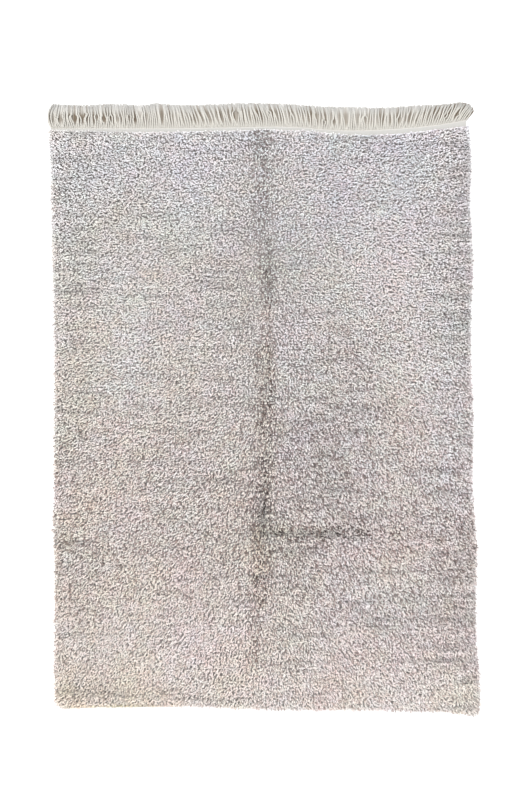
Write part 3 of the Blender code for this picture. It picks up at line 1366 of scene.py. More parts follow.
@dataclass
class Pile:
    """The knotted pile, built in strips that run the length of the rug.

    An inset below 0 puts the outer knots past the node's outline. Between the two places in
    trimmed no tip goes past the hem by more than trim. Of the pairs of neighbours that are
    looked at in each round of crossings, the share crossed change places.
    """

    rows: int = 424
    columns: int = 312
    strips: int = 8
    side_inset: float = -0.004
    hem_inset: float = -0.008
    top_inset: float = -0.0105
    stagger: float = 0.5
    uneven_place: float = 0.15
    uneven_height: float = 0.10
    uneven_girth: float = 0.12
    uneven_tone: float = 0.06
    uneven_tint: float = 0.008
    lightest: float = 0.81
    shortest: float = 0.008
    trimmed: Pair = (-0.97, -0.40)
    trim: float = -0.0085
    crossings: int = 3
    crossed: float = 0.5
    bend: float = 1.25
    cell_margin: float = 0.07
    seed: int = 2411

    def __post_init__(self) -> None:
        """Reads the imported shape, and places the knots and the tips of the whole pile."""
        self.patch = Patch.of_node(PILE_NODE)
        self.surface = PackedTop(PILE_NODE)
        self.character = PileCharacter()
        self.draws = np.random.default_rng(self.seed)
        self.places = self.knot_places()
        self.moves = self.crossed_tips()

    def build(self, material: Material) -> list[Object]:
        """Builds every strip.

        Args:
            material: The finish of the wool.

        Returns:
            The strips, from left to right.
        """
        shapes = Tuft().model(material)
        store = bpy.data.collections.new("tuft_shapes")
        bpy.context.scene.collection.children.link(store)
        for shape in shapes:
            for holder in shape.users_collection:
                holder.objects.unlink(shape)
            store.objects.link(shape)
        planting = self.planting_tree(store)
        made = [self.build_strip(number, len(shapes), planting) for number in range(self.strips)]
        for shape in shapes:
            bpy.data.objects.remove(shape)
        bpy.data.collections.remove(store)
        return made

    def build_strip(self, number: int, shapes: int, planting: NodeTree) -> Object:
        """Builds one strip of the pile.

        Args:
            number: Its number, from 0 at the left side.
            shapes: How many shapes of tuft there are.
            planting: The nodes that put a tuft on each knot.

        Returns:
            The strip.
        """
        columns = self.columns // self.strips
        deselect_all()
        bpy.ops.mesh.primitive_grid_add(
            x_subdivisions=columns - 1, y_subdivisions=self.rows - 1, size=1.0
        )
        strip = name_new(f"pile_strip_{number + 1}")
        knots = strip.data
        share = slice(number * columns, (number + 1) * columns)
        places = self.places[:, share].reshape(-1, 2)
        heights = np.maximum(self.surface.heights(places) - self.surface.low.z, self.shortest)
        move_points(knots, np.column_stack([places, np.full(len(places), self.surface.low.z)]))
        self.dress_knots(knots, places, heights, self.moves[:, share].reshape(-1, 2), shapes)
        strip.modifiers.new("tufts", "NODES").node_group = planting
        apply_modifiers(strip)
        mesh = strip.data
        cell_map(mesh, read_values(mesh, "knot"), len(places), self.cell_margin)
        for spare in ("turn", "size", "kind", "lean", "knot"):
            mesh.attributes.remove(mesh.attributes[spare])
        return strip

    def knot_places(self) -> np.ndarray:
        """Where every knot sits in plan, in offset rows and a little unevenly.

        Returns:
            A place for each row and column of knots.
        """
        row, column = np.divmod(np.arange(self.rows * self.columns), self.columns)
        across = (column + (1 - self.stagger) / 2 + self.stagger * (row % 2)) / self.columns
        along = (row + 0.5) / self.rows
        across += self.draws.uniform(-1, 1, len(row)) * self.uneven_place / self.columns
        along += self.draws.uniform(-1, 1, len(row)) * self.uneven_place / self.rows
        side = self.side_inset / self.patch.width
        hem, top = self.hem_inset / self.patch.length, self.top_inset / self.patch.length
        placed = self.patch.at(side + (1 - 2 * side) * across, hem + (1 - hem - top) * along)
        return placed.reshape(self.rows, self.columns, 2)

    def crossed_tips(self) -> np.ndarray:
        """How far each tip is moved when tips change places with their neighbours.

        It crosses the tufts and keeps their tips as evenly spread as their roots.

        Returns:
            The move across and along for each row and column of knots.
        """
        taken = np.arange(self.rows * self.columns).reshape(self.rows, self.columns)
        for turn in range(self.crossings):
            for grid in (taken, taken.T):
                pairs = grid[turn % 2 :][: (len(grid) - turn % 2) // 2 * 2]
                first, second = pairs[0::2].copy(), pairs[1::2].copy()
                change = self.draws.random(first.shape) < self.crossed
                pairs[0::2] = np.where(change, second, first)
                pairs[1::2] = np.where(change, first, second)
        return self.places.reshape(-1, 2)[taken] - self.places

    def dress_knots(
        self,
        knots: Mesh,
        places: np.ndarray,
        heights: np.ndarray,
        moves: np.ndarray,
        shapes: int,
    ) -> None:
        """Stores on each knot what its tuft is to be like.

        Args:
            knots: The mesh with a vertex for each knot.
            places: Where the knots sit in plan.
            heights: How high the pile stands over them.
            moves: How far their tips are moved to cross the tufts.
            shapes: How many shapes of tuft there are.
        """
        count = len(places)
        draws = self.draws
        height = heights * (1 + draws.uniform(-1, 1, count) * self.uneven_height)
        girth = 1 + draws.uniform(-1, 1, count) * self.uneven_girth
        lean = self.character.leans(places, draws) * height[:, None] + moves
        lean[:, 1] = self.trim_hem(places, lean[:, 1])
        turn = draws.uniform(0.0, math.tau, count)
        store_vectors(knots, "turn", np.column_stack([np.zeros((count, 2)), turn]))
        store_vectors(knots, "size", np.column_stack([girth, girth, height]))
        store_vectors(knots, "lean", np.column_stack([lean, np.zeros(count)]))
        store_values(knots, "kind", draws.integers(0, shapes, count))
        store_values(knots, "knot", np.arange(count))
        store_colors(knots, "wool", self.wool_colors(places + lean))

    def trim_hem(self, places: np.ndarray, lean: np.ndarray) -> np.ndarray:
        """Holds the tips back from the hem where the bare weave shows along it.

        Args:
            places: Where the knots sit in plan.
            lean: How far along the rug their tips stand off.

        Returns:
            The lean along the rug, changed where a tip would cover the hem.
        """
        start, end = self.trimmed
        held = (places[:, 0] > start) & (places[:, 0] < end)
        edge = np.interp(places[:, 0], *self.patch.hem.T) + self.trim
        return np.where(held, np.maximum(lean, edge - places[:, 1]), lean)

    def wool_colors(self, places: np.ndarray) -> np.ndarray:
        """The colour of the wool of each tuft.

        Args:
            places: Where the tufts' tips show in plan.

        Returns:
            A linear colour for each tuft.
        """
        fleeces = list(Fleece)
        shares = np.array([fleece.share for fleece in fleeces])
        picked = self.draws.choice(len(fleeces), size=len(places), p=shares)
        colors = np.array([fleece.color for fleece in fleeces])
        mean = shares @ colors
        apart = self.character.marls(places)[:, None]
        colors = mean * (colors[picked] / mean) ** apart
        uneven = self.draws.normal(0.0, self.uneven_tone, len(places))
        tone = self.character.tones(places) * (1 + uneven)
        tint = self.draws.normal(0.0, self.uneven_tint, (len(places), 3))
        casts = self.character.casts(places) + tint
        colors = colors * tone[:, None] * casts
        brightest = colors.max(1, keepdims=True)
        return colors * np.minimum(1.0, self.lightest / brightest)

    def planting_tree(self, store: Collection) -> NodeTree:
        """The geometry nodes that put a tuft on each knot and lean it over.

        Args:
            store: The collection of the shapes of tuft.

        Returns:
            The node tree.
        """
        maker = PlantingMaker("plant_tufts")
        settings = {"Collection": store, "Separate Children": True, "Reset Children": True}
        tufts = maker.add("GeometryNodeCollectionInfo", settings).outputs[0]
        planted = {
            "Instance": tufts,
            "Pick Instance": True,
            "Instance Index": maker.stored("kind", "INT"),
            "Rotation": maker.stored("turn", "FLOAT_VECTOR"),
            "Scale": maker.stored("size", "FLOAT_VECTOR"),
        }
        for title, value in planted.items():
            maker.feed(maker.plant.inputs[title], value)
        share = maker.math("POWER", maker.stored("along", "FLOAT"), self.bend)
        over = maker.scale(maker.stored("lean", "FLOAT_VECTOR"), share)
        leaned = {"Geometry": maker.planted(), "Offset": over}
        return maker.finish(maker.add("GeometryNodeSetPosition", leaned).outputs[0])


# The ground.


@dataclass
class Ground:
    """The woven ground, one sheet with a ribbed heading at each end."""

    columns: int = 130
    rib_pitch: float = 0.0022
    rib_depth: float = 0.0004
    steps_per_rib: int = 4
    top_heading: float = 0.036
    hem_heading: float = 0.012
    body_rows: int = 44
    bare_top: float = 0.024
    bare_hem: float = 0.010
    cover_width: float = 0.006
    rounded: float = 0.0012
    rounded_width: float = 0.003
    crisp_angle: float = 60.0
    sway: float = 0.0008
    sway_size: float = 0.12
    sway_layer: float = 41.0
    uneven: float = 0.0003
    uneven_size: float = 0.03
    uneven_layer: float = 44.0

    def build(self, material: Material) -> Object:
        """Builds the sheet.

        Args:
            material: The finish of the weave.

        Returns:
            The sheet.
        """
        patch = Patch.of_node(GROUND_NODE)
        low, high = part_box(GROUND_NODE)
        rows = self.row_places(patch.length)
        deselect_all()
        bpy.ops.mesh.primitive_grid_add(
            x_subdivisions=self.columns, y_subdivisions=len(rows) - 1, size=1.0
        )
        sheet = name_new("ground")
        across = np.tile(np.linspace(0.0, 1.0, self.columns + 1), len(rows))
        along = np.repeat(rows / patch.length, self.columns + 1)
        plan = patch.at(across, along)
        edit(sheet)
        bpy.ops.mesh.select_all(action="SELECT")
        bpy.ops.mesh.extrude_region_move(TRANSFORM_OT_translate={"value": (0.0, 0.0, 1.0)})
        face_outwards()
        mesh = sheet.data
        # The grid is a unit square about the origin, and its upper face is one unit up.
        x, y, z = points_of(mesh).T
        raised = z > 0.5
        column = np.round((x + 0.5) * self.columns).astype(int)
        row = np.round((y + 0.5) * (len(rows) - 1)).astype(int)
        upper = self.upper_heights(plan, rows, patch.length, high.z)
        which = row * (self.columns + 1) + column
        height = np.where(raised, upper[which], low.z)
        move_points(mesh, np.column_stack([plan[which], height]))
        self.note_cover(mesh, raised, rows[row], patch.length)
        mesh.shade_smooth()
        mesh.set_sharp_from_angle(angle=math.radians(self.crisp_angle))
        mesh.materials.append(material)
        return sheet

    def row_places(self, length: float) -> np.ndarray:
        """How far from the hem each row of the mesh lies, close together at the headings."""
        step = self.rib_pitch / self.steps_per_rib
        hem = np.arange(0.0, self.hem_heading, step)
        top = length - np.arange(0.0, self.top_heading, step)[::-1]
        body = np.linspace(hem[-1], top[0], self.body_rows + 2)[1:-1]
        return np.concatenate([hem, body, top])

    def upper_heights(
        self, plan: np.ndarray, rows: np.ndarray, length: float, level: float
    ) -> np.ndarray:
        """How high the upper face stands, with its ribs and its rounded edges.

        Args:
            plan: The places of the grid's points in plan.
            rows: How far from the hem each row lies.
            length: The length of the sheet.
            level: The height that the ribs reach.

        Returns:
            A height for each point of the grid.
        """
        from_hem = np.repeat(rows, self.columns + 1)
        from_top = length - from_hem
        sway = self.sway * drift(plan, self.sway_size, self.sway_layer)
        ribs = 0.5 - 0.5 * np.cos(math.tau * (from_top + sway) / self.rib_pitch)
        ribbed = (from_hem < self.hem_heading) | (from_top < self.top_heading)
        dips = self.rib_depth * ribs * ribbed
        uneven = self.uneven * (1 + drift(plan, self.uneven_size, self.uneven_layer))
        near = np.minimum(from_hem, from_top)
        return level - dips - uneven - self.rounded * (1 - ease(near / self.rounded_width))

    def note_cover(
        self, mesh: Mesh, raised: np.ndarray, from_hem: np.ndarray, length: float
    ) -> None:
        """Notes where the pile covers the weave, and which face is the underside.

        Args:
            mesh: The sheet's mesh.
            raised: Which vertices are on the upper face.
            from_hem: How far from the hem each vertex is.
            length: The length of the sheet.
        """
        covered = ease((from_hem - self.bare_hem) / self.cover_width)
        covered *= ease((length - from_hem - self.bare_top) / self.cover_width)
        store_values(mesh, "covered", covered * raised)
        store_values(mesh, "underside", 1.0 - raised)


# The fringe.


class FringeRow(NamedTuple):
    """The lie of the fringe at a distance across, and the shade between its strands.

    The lean is in degrees. The shade is from 0 to 1, and fades from where it ends outwards.
    """

    across: float
    lean: float
    bow: float
    reach: float
    shade: float
    shade_end: float


class Opening(NamedTuple):
    """A gap where strands part: its place across and out from the edge, and half sizes."""

    across: float
    out: float
    half_width: float
    half_length: float


@dataclass(frozen=True)
class StrandLayer:
    """One layer of the fringe: how many strands it has, and how each is spun and lies.

    Its strands stray and part at the openings where free is 1, and lie evenly where it is 0.
    """

    name: str
    strands: int
    plies: int
    sides: int
    segments: int
    ply_radius: float
    tip_radius: float
    ply_circle: float
    splay: float
    turns: float
    rest_height: float
    lift: float
    flat: float
    painted_gap_shade: float
    tip_darkening: float
    uneven_dust: float
    free: float
    seed: int


class FringeLayers(Enum):
    """The two layers of the fringe: the strands that show, and those that they lie on."""

    UPPER = StrandLayer(
        name="fringe_strands",
        strands=182,
        plies=3,
        sides=4,
        segments=18,
        ply_radius=0.0021,
        tip_radius=0.0015,
        ply_circle=0.0019,
        splay=0.0030,
        turns=3.2,
        rest_height=0.0062,
        lift=0.0035,
        flat=0.0021,
        painted_gap_shade=0.05,
        tip_darkening=0.05,
        uneven_dust=0.08,
        free=1.0,
        seed=515,
    )
    # Painted shade: the under strands carry most of the dark colour of the gaps between the upper
    # strands.
    UNDER = StrandLayer(
        name="fringe_understrands",
        strands=296,
        plies=1,
        sides=6,
        segments=9,
        ply_radius=0.0048,
        tip_radius=0.0052,
        ply_circle=0.0,
        splay=0.0,
        turns=0.0,
        rest_height=0.0020,
        lift=0.0,
        flat=0.0014,
        painted_gap_shade=0.94,
        tip_darkening=0.36,
        uneven_dust=0.32,
        free=0.0,
        seed=516,
    )


@dataclass
class Fringe:
    """The fringe: warp ends in two layers that come out of a twined edge.

    The values that are called a start, a rise, a fade or a share are shares of a strand's
    length, and a lean is in degrees. An opening's push fades over opening_spread of its half
    widths. Along the strands it has the shape of a drop, from the powers in opening_shape,
    whose highest value is opening_peak.
    """

    rows: tuple[FringeRow, ...] = (
        FringeRow(-1.012, 6, -0.022, 0.104, 0.80, 0.60),
        FringeRow(-0.937, -3, -0.006, 0.100, 0.85, 0.60),
        FringeRow(-0.817, -2, 0.002, 0.099, 0.85, 0.62),
        FringeRow(-0.687, -9, -0.003, 0.106, 0.80, 0.66),
        FringeRow(-0.577, -5, 0.003, 0.098, 0.60, 0.70),
        FringeRow(-0.497, -4, 0.001, 0.108, 0.42, 0.75),
        FringeRow(-0.381, -14, 0.004, 0.097, 0.42, 0.75),
        FringeRow(-0.262, -18, 0.005, 0.096, 0.45, 0.78),
        FringeRow(-0.107, -12, -0.002, 0.104, 0.65, 0.78),
        FringeRow(0.043, -14, 0.004, 0.099, 0.50, 0.78),
        FringeRow(0.183, -12, 0.002, 0.096, 0.45, 0.78),
        FringeRow(0.323, -4, 0.006, 0.099, 0.50, 0.78),
        FringeRow(0.433, 0, 0.001, 0.100, 0.45, 0.75),
        FringeRow(0.563, 3, -0.003, 0.092, 0.45, 0.75),
        FringeRow(0.683, 10, 0.002, 0.094, 0.50, 0.72),
        FringeRow(0.803, 20, -0.002, 0.088, 0.70, 0.85),
        FringeRow(0.883, 30, -0.003, 0.087, 0.95, 1.10),
        FringeRow(0.923, 32, -0.002, 0.070, 1.00, 1.20),
        FringeRow(0.958, 38, 0.000, 0.034, 1.00, 1.20),
        FringeRow(0.983, 40, 0.000, 0.030, 1.00, 1.20),
    )
    openings: tuple[Opening, ...] = (
        Opening(-0.963, 0.028, 0.008, 0.022),
        Opening(-0.902, 0.045, 0.011, 0.018),
        Opening(-0.850, 0.060, 0.012, 0.013),
        Opening(-0.853, 0.018, 0.006, 0.011),
        Opening(-0.793, 0.050, 0.007, 0.014),
        Opening(-0.760, 0.036, 0.008, 0.020),
        Opening(-0.724, 0.042, 0.008, 0.020),
        Opening(-0.692, 0.036, 0.006, 0.018),
        Opening(-0.637, 0.046, 0.006, 0.018),
        Opening(-0.610, 0.034, 0.006, 0.016),
        Opening(-0.580, 0.066, 0.006, 0.014),
        Opening(-0.552, 0.052, 0.006, 0.022),
        Opening(-0.430, 0.048, 0.004, 0.020),
        Opening(-0.131, 0.054, 0.011, 0.024),
        Opening(0.025, 0.062, 0.006, 0.018),
        Opening(0.246, 0.056, 0.006, 0.018),
        Opening(0.287, 0.030, 0.007, 0.016),
        Opening(0.329, 0.032, 0.008, 0.016),
        Opening(0.478, 0.046, 0.009, 0.020),
        Opening(0.644, 0.036, 0.007, 0.018),
        Opening(0.860, 0.034, 0.006, 0.016),
        Opening(0.917, 0.026, 0.006, 0.014),
    )
    opening_push: float = 0.75
    opening_spread: float = 2.2
    opening_shape: Pair = (1.2, 0.4)
    opening_peak: float = 0.406
    tip_fuzz: float = 0.014
    bleach_start: float = 0.45
    splay_start: float = 0.50
    splay_mean: float = 0.6
    splay_step: float = 7.0
    splay_flat: float = 0.55
    point_start: float = 0.93
    point_taper: float = 0.6
    shade_start: float = 0.10
    shade_rise: float = 0.24
    shade_fade: float = 0.30
    dust_rise: float = 0.30
    uneven_root: float = 0.2
    uneven_lean: float = 3.5
    uneven_bow: float = 0.0025
    uneven_reach: float = 0.0015
    uneven_curl: float = 0.004
    calm_width: float = 0.06
    calm: float = 0.7
    root_height: float = 0.0004
    rise_share: float = 0.2
    lift_quickness: float = 1.2
    ply_spacing: float = 3.0
    ply_margin: float = 0.1
    strand_margin: float = 0.02
    cap_width: float = 0.01
    cap_length: float = 0.008
    cell_margin: float = 0.04

    def __post_init__(self) -> None:
        """Reads the edge that the strands come out of."""
        self.edge = Patch.of_node(GROUND_NODE).top

    def build(self, material: Material) -> list[Object]:
        """Builds both layers.

        Args:
            material: The finish of the yarn.

        Returns:
            The layers, the upper one first.
        """
        return [self.build_layer(layer.value, material) for layer in FringeLayers]

    def build_layer(self, layer: StrandLayer, material: Material) -> Object:
        """Builds one layer of strands.

        Args:
            layer: What the layer is like.
            material: The finish of the yarn.

        Returns:
            The layer.
        """
        strand = self.model_strand(layer)
        strand.data.materials.append(material)
        deselect_all()
        bpy.ops.mesh.primitive_grid_add(
            x_subdivisions=layer.strands - 1, y_subdivisions=1, size=1.0
        )
        piece = name_new(layer.name)
        store_values(piece.data, "strand", np.arange(len(piece.data.vertices)))
        piece.modifiers.new("strands", "NODES").node_group = self.laying_tree(layer, strand)
        apply_modifiers(piece)
        mesh = piece.data
        bpy.data.objects.remove(strand)
        self.lay(mesh, layer)
        cell_map(mesh, read_values(mesh, "strand"), layer.strands, self.cell_margin)
        mesh.shade_smooth()
        return piece

    def model_strand(self, layer: StrandLayer) -> Object:
        """Models one strand as straight plies of unit length and girth.

        Args:
            layer: The layer that it is for.

        Returns:
            The strand, whose vertices carry their place along and their ply.
        """
        made = []
        step = (0.0, 0.0, 1.0 / layer.segments)
        for ply in range(layer.plies):
            place = (self.ply_spacing * ply, 0.0, 0.0)
            deselect_all()
            bpy.ops.mesh.primitive_circle_add(
                vertices=layer.sides, radius=1.0, fill_type="NGON", location=place
            )
            made.append(name_new(f"ply_{ply}"))
            edit(made[-1])
            for _ in range(layer.segments):
                bpy.ops.mesh.extrude_region_move(TRANSFORM_OT_translate={"value": step})
            face_outwards()
        deselect_all()
        for ply in made:
            ply.select_set(True)
        bpy.context.view_layer.objects.active = made[0]
        if len(made) > 1:
            bpy.ops.object.join()
        strand = made[0]
        bpy.ops.object.transform_apply(location=True, rotation=False, scale=False)
        points = points_of(strand.data)
        store_values(strand.data, "along", points[:, 2])
        store_values(strand.data, "ply", np.round(points[:, 0] / self.ply_spacing).astype(int))
        self.map_plies(strand.data, layer)
        return strand

    def map_plies(self, mesh: Mesh, layer: StrandLayer) -> None:
        """Maps the plies side by side, each round and along, with its caps in the margins.

        Args:
            mesh: The strand's mesh, with its plies apart.
            layer: The layer that it is for.
        """
        yarn = yarn_layer(mesh)
        for face in mesh.polygons:
            middle = face.center
            ply = round(middle.x / self.ply_spacing)
            axis = self.ply_spacing * ply
            facing = math.atan2(middle.y, middle.x - axis)
            cap = abs(face.normal.z) > LEVEL_NORMAL
            for loop in face.loop_indices:
                point = mesh.vertices[mesh.loops[loop].vertex_index].co
                angle = math.atan2(point.y, point.x - axis)
                off = (angle - facing + math.pi) % math.tau - math.pi
                around = ((facing + math.pi) % math.tau + off) / math.tau
                height = self.strand_margin + (1 - 2 * self.strand_margin) * point.z
                if cap:
                    outwards = 1 if point.z > 0.5 else -1
                    around = 0.5 + self.cap_width * math.cos(angle)
                    height += self.cap_length * (1 + math.sin(angle)) * outwards
                across = ply + self.ply_margin + (1 - 2 * self.ply_margin) * around
                yarn.uv[loop].vector = (across / layer.plies, height)

    def laying_tree(self, layer: StrandLayer, strand: Object) -> NodeTree:
        """The geometry nodes that put a strand on each point of one edge of a grid.

        Args:
            layer: The layer.
            strand: The strand.

        Returns:
            The node tree.
        """
        maker = PlantingMaker(f"lay_{layer.name}")
        chosen = maker.add("FunctionNodeCompare", data_type="INT", operation="LESS_THAN")
        ends = {socket.identifier: socket for socket in chosen.inputs}
        maker.feed(ends["A_INT"], maker.stored("strand", "INT"))
        maker.feed(ends["B_INT"], layer.strands)
        model = maker.add("GeometryNodeObjectInfo", {"Object": strand}).outputs["Geometry"]
        maker.feed(maker.plant.inputs["Selection"], chosen.outputs[0])
        maker.feed(maker.plant.inputs["Instance"], model)
        return maker.finish(maker.planted())

    def lay(self, mesh: Mesh, layer: StrandLayer) -> None:
        """Bends every strand to its place, twists its plies and splays its end.

        Args:
            mesh: The mesh of all the strands, each at its point of the grid.
            layer: What the layer is like.
        """
        # Each vertex has its strand, its ply, its share of the length and its place in the ply.
        count = layer.strands
        strand, ply = read_values(mesh, "strand"), read_values(mesh, "ply")
        s = read_values(mesh, "along").astype(float)
        grid = np.linspace(-0.5, 0.5, count)[strand]
        points = points_of(mesh)
        section_x = points[:, 0] - grid - self.ply_spacing * ply
        section_y = points[:, 1] + 0.5

        # How each strand lies.
        draws = np.random.default_rng(layer.seed)
        uneven = draws.uniform(-self.uneven_root, self.uneven_root, count)
        root = Patch.along(self.edge, (np.arange(count) + 0.5 + uneven) / count)
        inward = np.minimum(root[:, 0] - root[0, 0], root[-1, 0] - root[:, 0])
        free = layer.free * (1 - self.calm * (1 - ease(inward / self.calm_width)))
        columns = ("lean", "bow", "reach", "shade", "shade_end")
        lean, bow, reach, shade, shade_end = (
            read_rows(self.rows, column, root[:, 0]) for column in columns
        )
        lean += free * draws.normal(0, self.uneven_lean, count)
        bow += free * draws.normal(0, self.uneven_bow, count)
        reach += draws.normal(0, self.uneven_reach, count) + self.tip_fuzz
        lift = draws.uniform(0.0, layer.lift, count)
        curl = free * draws.normal(0.0, self.uneven_curl, count)
        start = draws.uniform(0.0, math.tau, count)
        darkening = draws.uniform(-1, 1, count) * layer.uneven_dust

        # The middle line of each strand.
        tip = reach * np.tan(np.radians(lean))
        x = root[strand, 0] + tip[strand] * s + bow[strand] * np.sin(math.pi * s)
        x += curl[strand] * np.sin(math.tau * s) * s
        y = root[strand, 1] + reach[strand] * s
        x += layer.free * self.parted(x, reach[strand] * s)
        rise = ease(s / self.rise_share)
        z = self.root_height * (1 - rise) + layer.rest_height * rise
        z += lift[strand] * np.sin(math.pi * np.clip(self.lift_quickness * s, 0, 1))

        # The plies, which wind round that line and open out towards the tip.
        opened = ease((s - self.splay_start) / (1 - self.splay_start))
        angle = start[strand] + math.tau * (layer.turns * s + ply / layer.plies)
        splay = self.splay_mean + (1 - self.splay_mean) * np.cos(self.splay_step * strand)
        wide = layer.ply_circle + layer.splay * opened * splay
        tall = layer.ply_circle * (1 - self.splay_flat * opened)
        girth = layer.ply_radius + (layer.tip_radius - layer.ply_radius) * opened
        girth *= 1 - self.point_taper * ease((s - self.point_start) / (1 - self.point_start))
        heading = np.radians(lean[strand])
        side = np.cos(angle) * wide + girth * section_x
        up = np.sin(angle) * tall + np.minimum(girth, layer.flat) * section_y
        across, along = x + side * np.cos(heading), y - side * np.sin(heading)
        move_points(mesh, np.column_stack([across, along, np.maximum(z + up, FLOOR_CLEARANCE)]))

        # The darkening: painted shade in the gaps between strands, uneven darkening from strand to
        # strand and more darkening towards the tips; and the bleached ends.
        fade = (s - shade_end[strand]) / self.shade_fade + 0.5
        deep = ease((s - self.shade_start) / self.shade_rise) * (1 - ease(fade))
        dust_and_shade = layer.tip_darkening * s + layer.painted_gap_shade * shade[strand] * deep
        dust_and_shade += darkening[strand] * ease(s / self.dust_rise)
        store_values(mesh, "darkening", np.clip(dust_and_shade, 0.0, 1.0))
        store_values(mesh, "bleach", ease((s - self.bleach_start) / (1 - self.bleach_start)))

    def parted(self, x: np.ndarray, out: np.ndarray) -> np.ndarray:
        """How far strands are pushed aside by the openings between them.

        Args:
            x: Places across the rug.
            out: How far out from the edge those places are.

        Returns:
            The push across the rug at each place.
        """
        push = np.zeros(len(x))
        inner, outer = self.opening_shape
        for opening in self.openings:
            off = (x - opening.across) / (self.opening_spread * opening.half_width)
            t = np.clip(0.5 + (out - opening.out) / (2 * opening.half_length), 0.0, 1.0)
            drop = t**inner * (1 - t) ** outer / self.opening_peak
            aside = np.sign(off) * np.exp(-(off**2))
            push += self.opening_push * opening.half_width * aside * drop
        return push


@dataclass
class TwinedEdge:
    """The narrow twined edge that holds the warps at the foot of the fringe.

    It is divided along its length in two steps, first into stretches of twists_apart twists,
    because one step makes a hundred cuts at most.
    """

    width: float = 0.005
    height: float = 0.0036
    twists: int = 182
    twists_apart: int = 14
    steps_per_twist: int = 4
    sides: int = 8
    lobes: float = 0.14
    map_length: float = 14.0
    bleach: float = 0.4

    def build(self, material: Material) -> Object:
        """Builds the edge as a two-ply cord that follows the heading.

        Args:
            material: The finish of the yarn.

        Returns:
            The edge.
        """
        top = Patch.of_node(GROUND_NODE).top
        deselect_all()
        bpy.ops.mesh.primitive_cylinder_add(
            vertices=self.sides, radius=1.0, depth=1.0, end_fill_type="NGON"
        )
        edge = name_new("twined_edge")
        for pieces in (self.twists // self.twists_apart, self.twists_apart * self.steps_per_twist):
            self.divide_lengthwise(edge, pieces)
        mesh = edge.data
        points = points_of(mesh)
        share = points[:, 2] + 0.5
        angle = np.arctan2(points[:, 1], points[:, 0])
        turned = angle + math.pi * self.twists * share
        reach = 1 - self.lobes + self.lobes * np.cos(2 * angle)
        line = Patch.along(top, share)
        side = self.width / 2 * reach * np.cos(turned)
        up = self.height / 2 * (1 + reach * np.sin(turned))
        plan = line + np.column_stack([np.zeros(len(line)), side])
        move_points(mesh, np.column_stack([plan, np.maximum(up, FLOOR_CLEARANCE)]))
        self.map_cord(mesh, share, angle)
        store_values(mesh, "darkening", np.zeros(len(points)))
        store_values(mesh, "bleach", np.full(len(points), self.bleach))
        edit(edge)
        face_outwards()
        mesh.shade_smooth()
        mesh.materials.append(material)
        return edge

    def divide_lengthwise(self, edge: Object, pieces: int) -> None:
        """Divides every edge that runs along the cord.

        Args:
            edge: The cord, still upright.
            pieces: How many pieces each such edge becomes.
        """
        edit(edge)
        bpy.ops.mesh.select_mode(type="EDGE")
        bpy.ops.mesh.select_all(action="DESELECT")
        leave_edit()
        points = points_of(edge.data)
        for mesh_edge in edge.data.edges:
            first, last = mesh_edge.vertices
            mesh_edge.select = abs(points[first, 2] - points[last, 2]) > SAME_LEVEL
        edit(edge)
        bpy.ops.mesh.subdivide(number_cuts=pieces - 1, smoothness=0.0)
        bpy.ops.mesh.select_mode(type="VERT")
        leave_edit()

    def map_cord(self, mesh: Mesh, share: np.ndarray, angle: np.ndarray) -> None:
        """Maps the cord round and along.

        Args:
            mesh: The cord's mesh.
            share: How far along the cord each vertex is.
            angle: How far round it.
        """
        layer = yarn_layer(mesh)
        for face in mesh.polygons:
            angles = np.array([angle[vertex] for vertex in face.vertices])
            if angles.max() - angles.min() > math.pi:
                angles = np.where(angles < 0, angles + math.tau, angles)
            for loop, vertex, around in zip(face.loop_indices, face.vertices, angles):
                layer.uv[loop].vector = (around / math.tau + 0.5, share[vertex] * self.map_length)


# The studio.


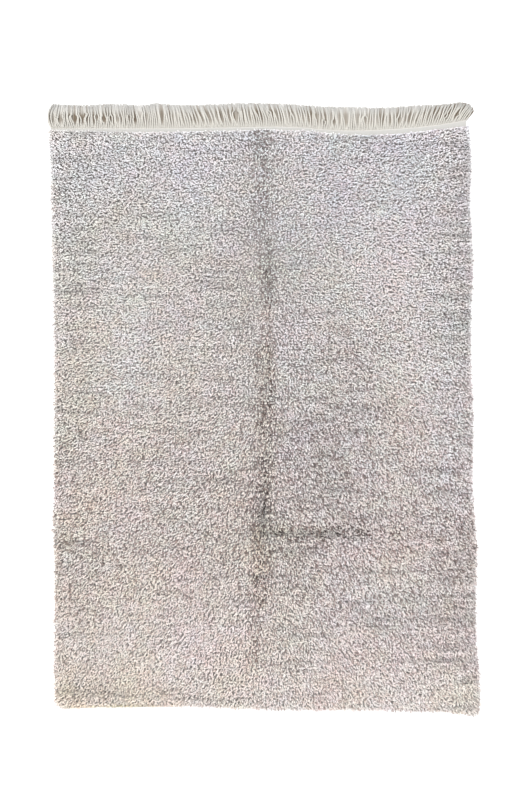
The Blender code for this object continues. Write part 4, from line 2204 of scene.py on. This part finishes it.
@dataclass
class Studio:
    """The plain floor, the soft lights and the camera straight over the rug."""

    camera_height: float = 4.2
    seen_length: float = 3.736
    seen_height: float = 0.020
    centre: Pair = (0.001, 0.061)
    floor_size: float = 24.0
    floor_gap: float = 0.0004
    key_toward: tuple[float, float, float] = (0.35, -0.60, -1.0)
    key_angle: float = 35.0
    key_strength: float = 2.0
    sky: float = 1.40
    sky_color: Rgb = (1.0, 1.0, 1.0)
    far_end: float = 100.0

    def build(self) -> None:
        """Sets up the floor, the lights and the camera."""
        self.build_floor()
        self.build_key()
        self.build_sky()
        self.build_camera()
        bpy.context.scene.view_settings.view_transform = "Standard"

    def build_floor(self) -> None:
        """Lays the floor just under the rug."""
        deselect_all()
        bpy.ops.mesh.primitive_plane_add(size=self.floor_size, location=(0, 0, -self.floor_gap))
        floor = name_new("floor")
        floor.data.materials.append(FloorFinish().make())

    def build_key(self) -> None:
        """Hangs the key light, a broad one so far off that it falls evenly."""
        data = bpy.data.lights.new("key_light", "SUN")
        data.energy = self.key_strength
        data.angle = math.radians(self.key_angle)
        light = bpy.data.objects.new("key_light", data)
        light.rotation_euler = Vector(self.key_toward).to_track_quat("-Z", "Y").to_euler()
        bpy.context.scene.collection.objects.link(light)

    def build_sky(self) -> None:
        """Lights the scene evenly from all round."""
        world = bpy.data.worlds.new("studio")
        world.use_nodes = True
        background = world.node_tree.nodes["Background"]
        background.inputs["Color"].default_value = (*self.sky_color, 1.0)
        background.inputs["Strength"].default_value = self.sky
        bpy.context.scene.world = world

    def build_camera(self) -> None:
        """Hangs the camera over the rug, with the photo's frame."""
        data = bpy.data.cameras.new("camera")
        above = self.camera_height - self.seen_height
        data.lens = data.sensor_width * above / self.seen_length
        data.clip_end = self.far_end
        camera = bpy.data.objects.new("camera", data)
        camera.location = (*self.centre, self.camera_height)
        bpy.context.scene.collection.objects.link(camera)
        bpy.context.scene.camera = camera


def main() -> None:
    """Builds the rug and the studio, and notes how big the rug came out."""
    logging.basicConfig(level=logging.INFO, format="%(name)s: %(message)s")
    effects = YarnEffects.make()
    warp_yarn = WarpFinish().make(effects)

    ground = Ground().build(GroundFinish().make(effects))
    hand_over(ground, GROUND_NODE)

    for strip in Pile().build(PileFinish().make(effects)):
        hand_over(strip, PILE_NODE)

    fringe = [*Fringe().build(warp_yarn), TwinedEdge().build(warp_yarn)]
    for piece in fringe:
        hand_over(piece, FRINGE_NODE)

    patch = Patch.of_node(GROUND_NODE)
    flat = (round(patch.width, 3), round(patch.length, 3))
    LOG.info("ground: a sheet of %.3f by %.3f m", *flat)

    Studio().build()


if __name__ == "__main__":
    main()
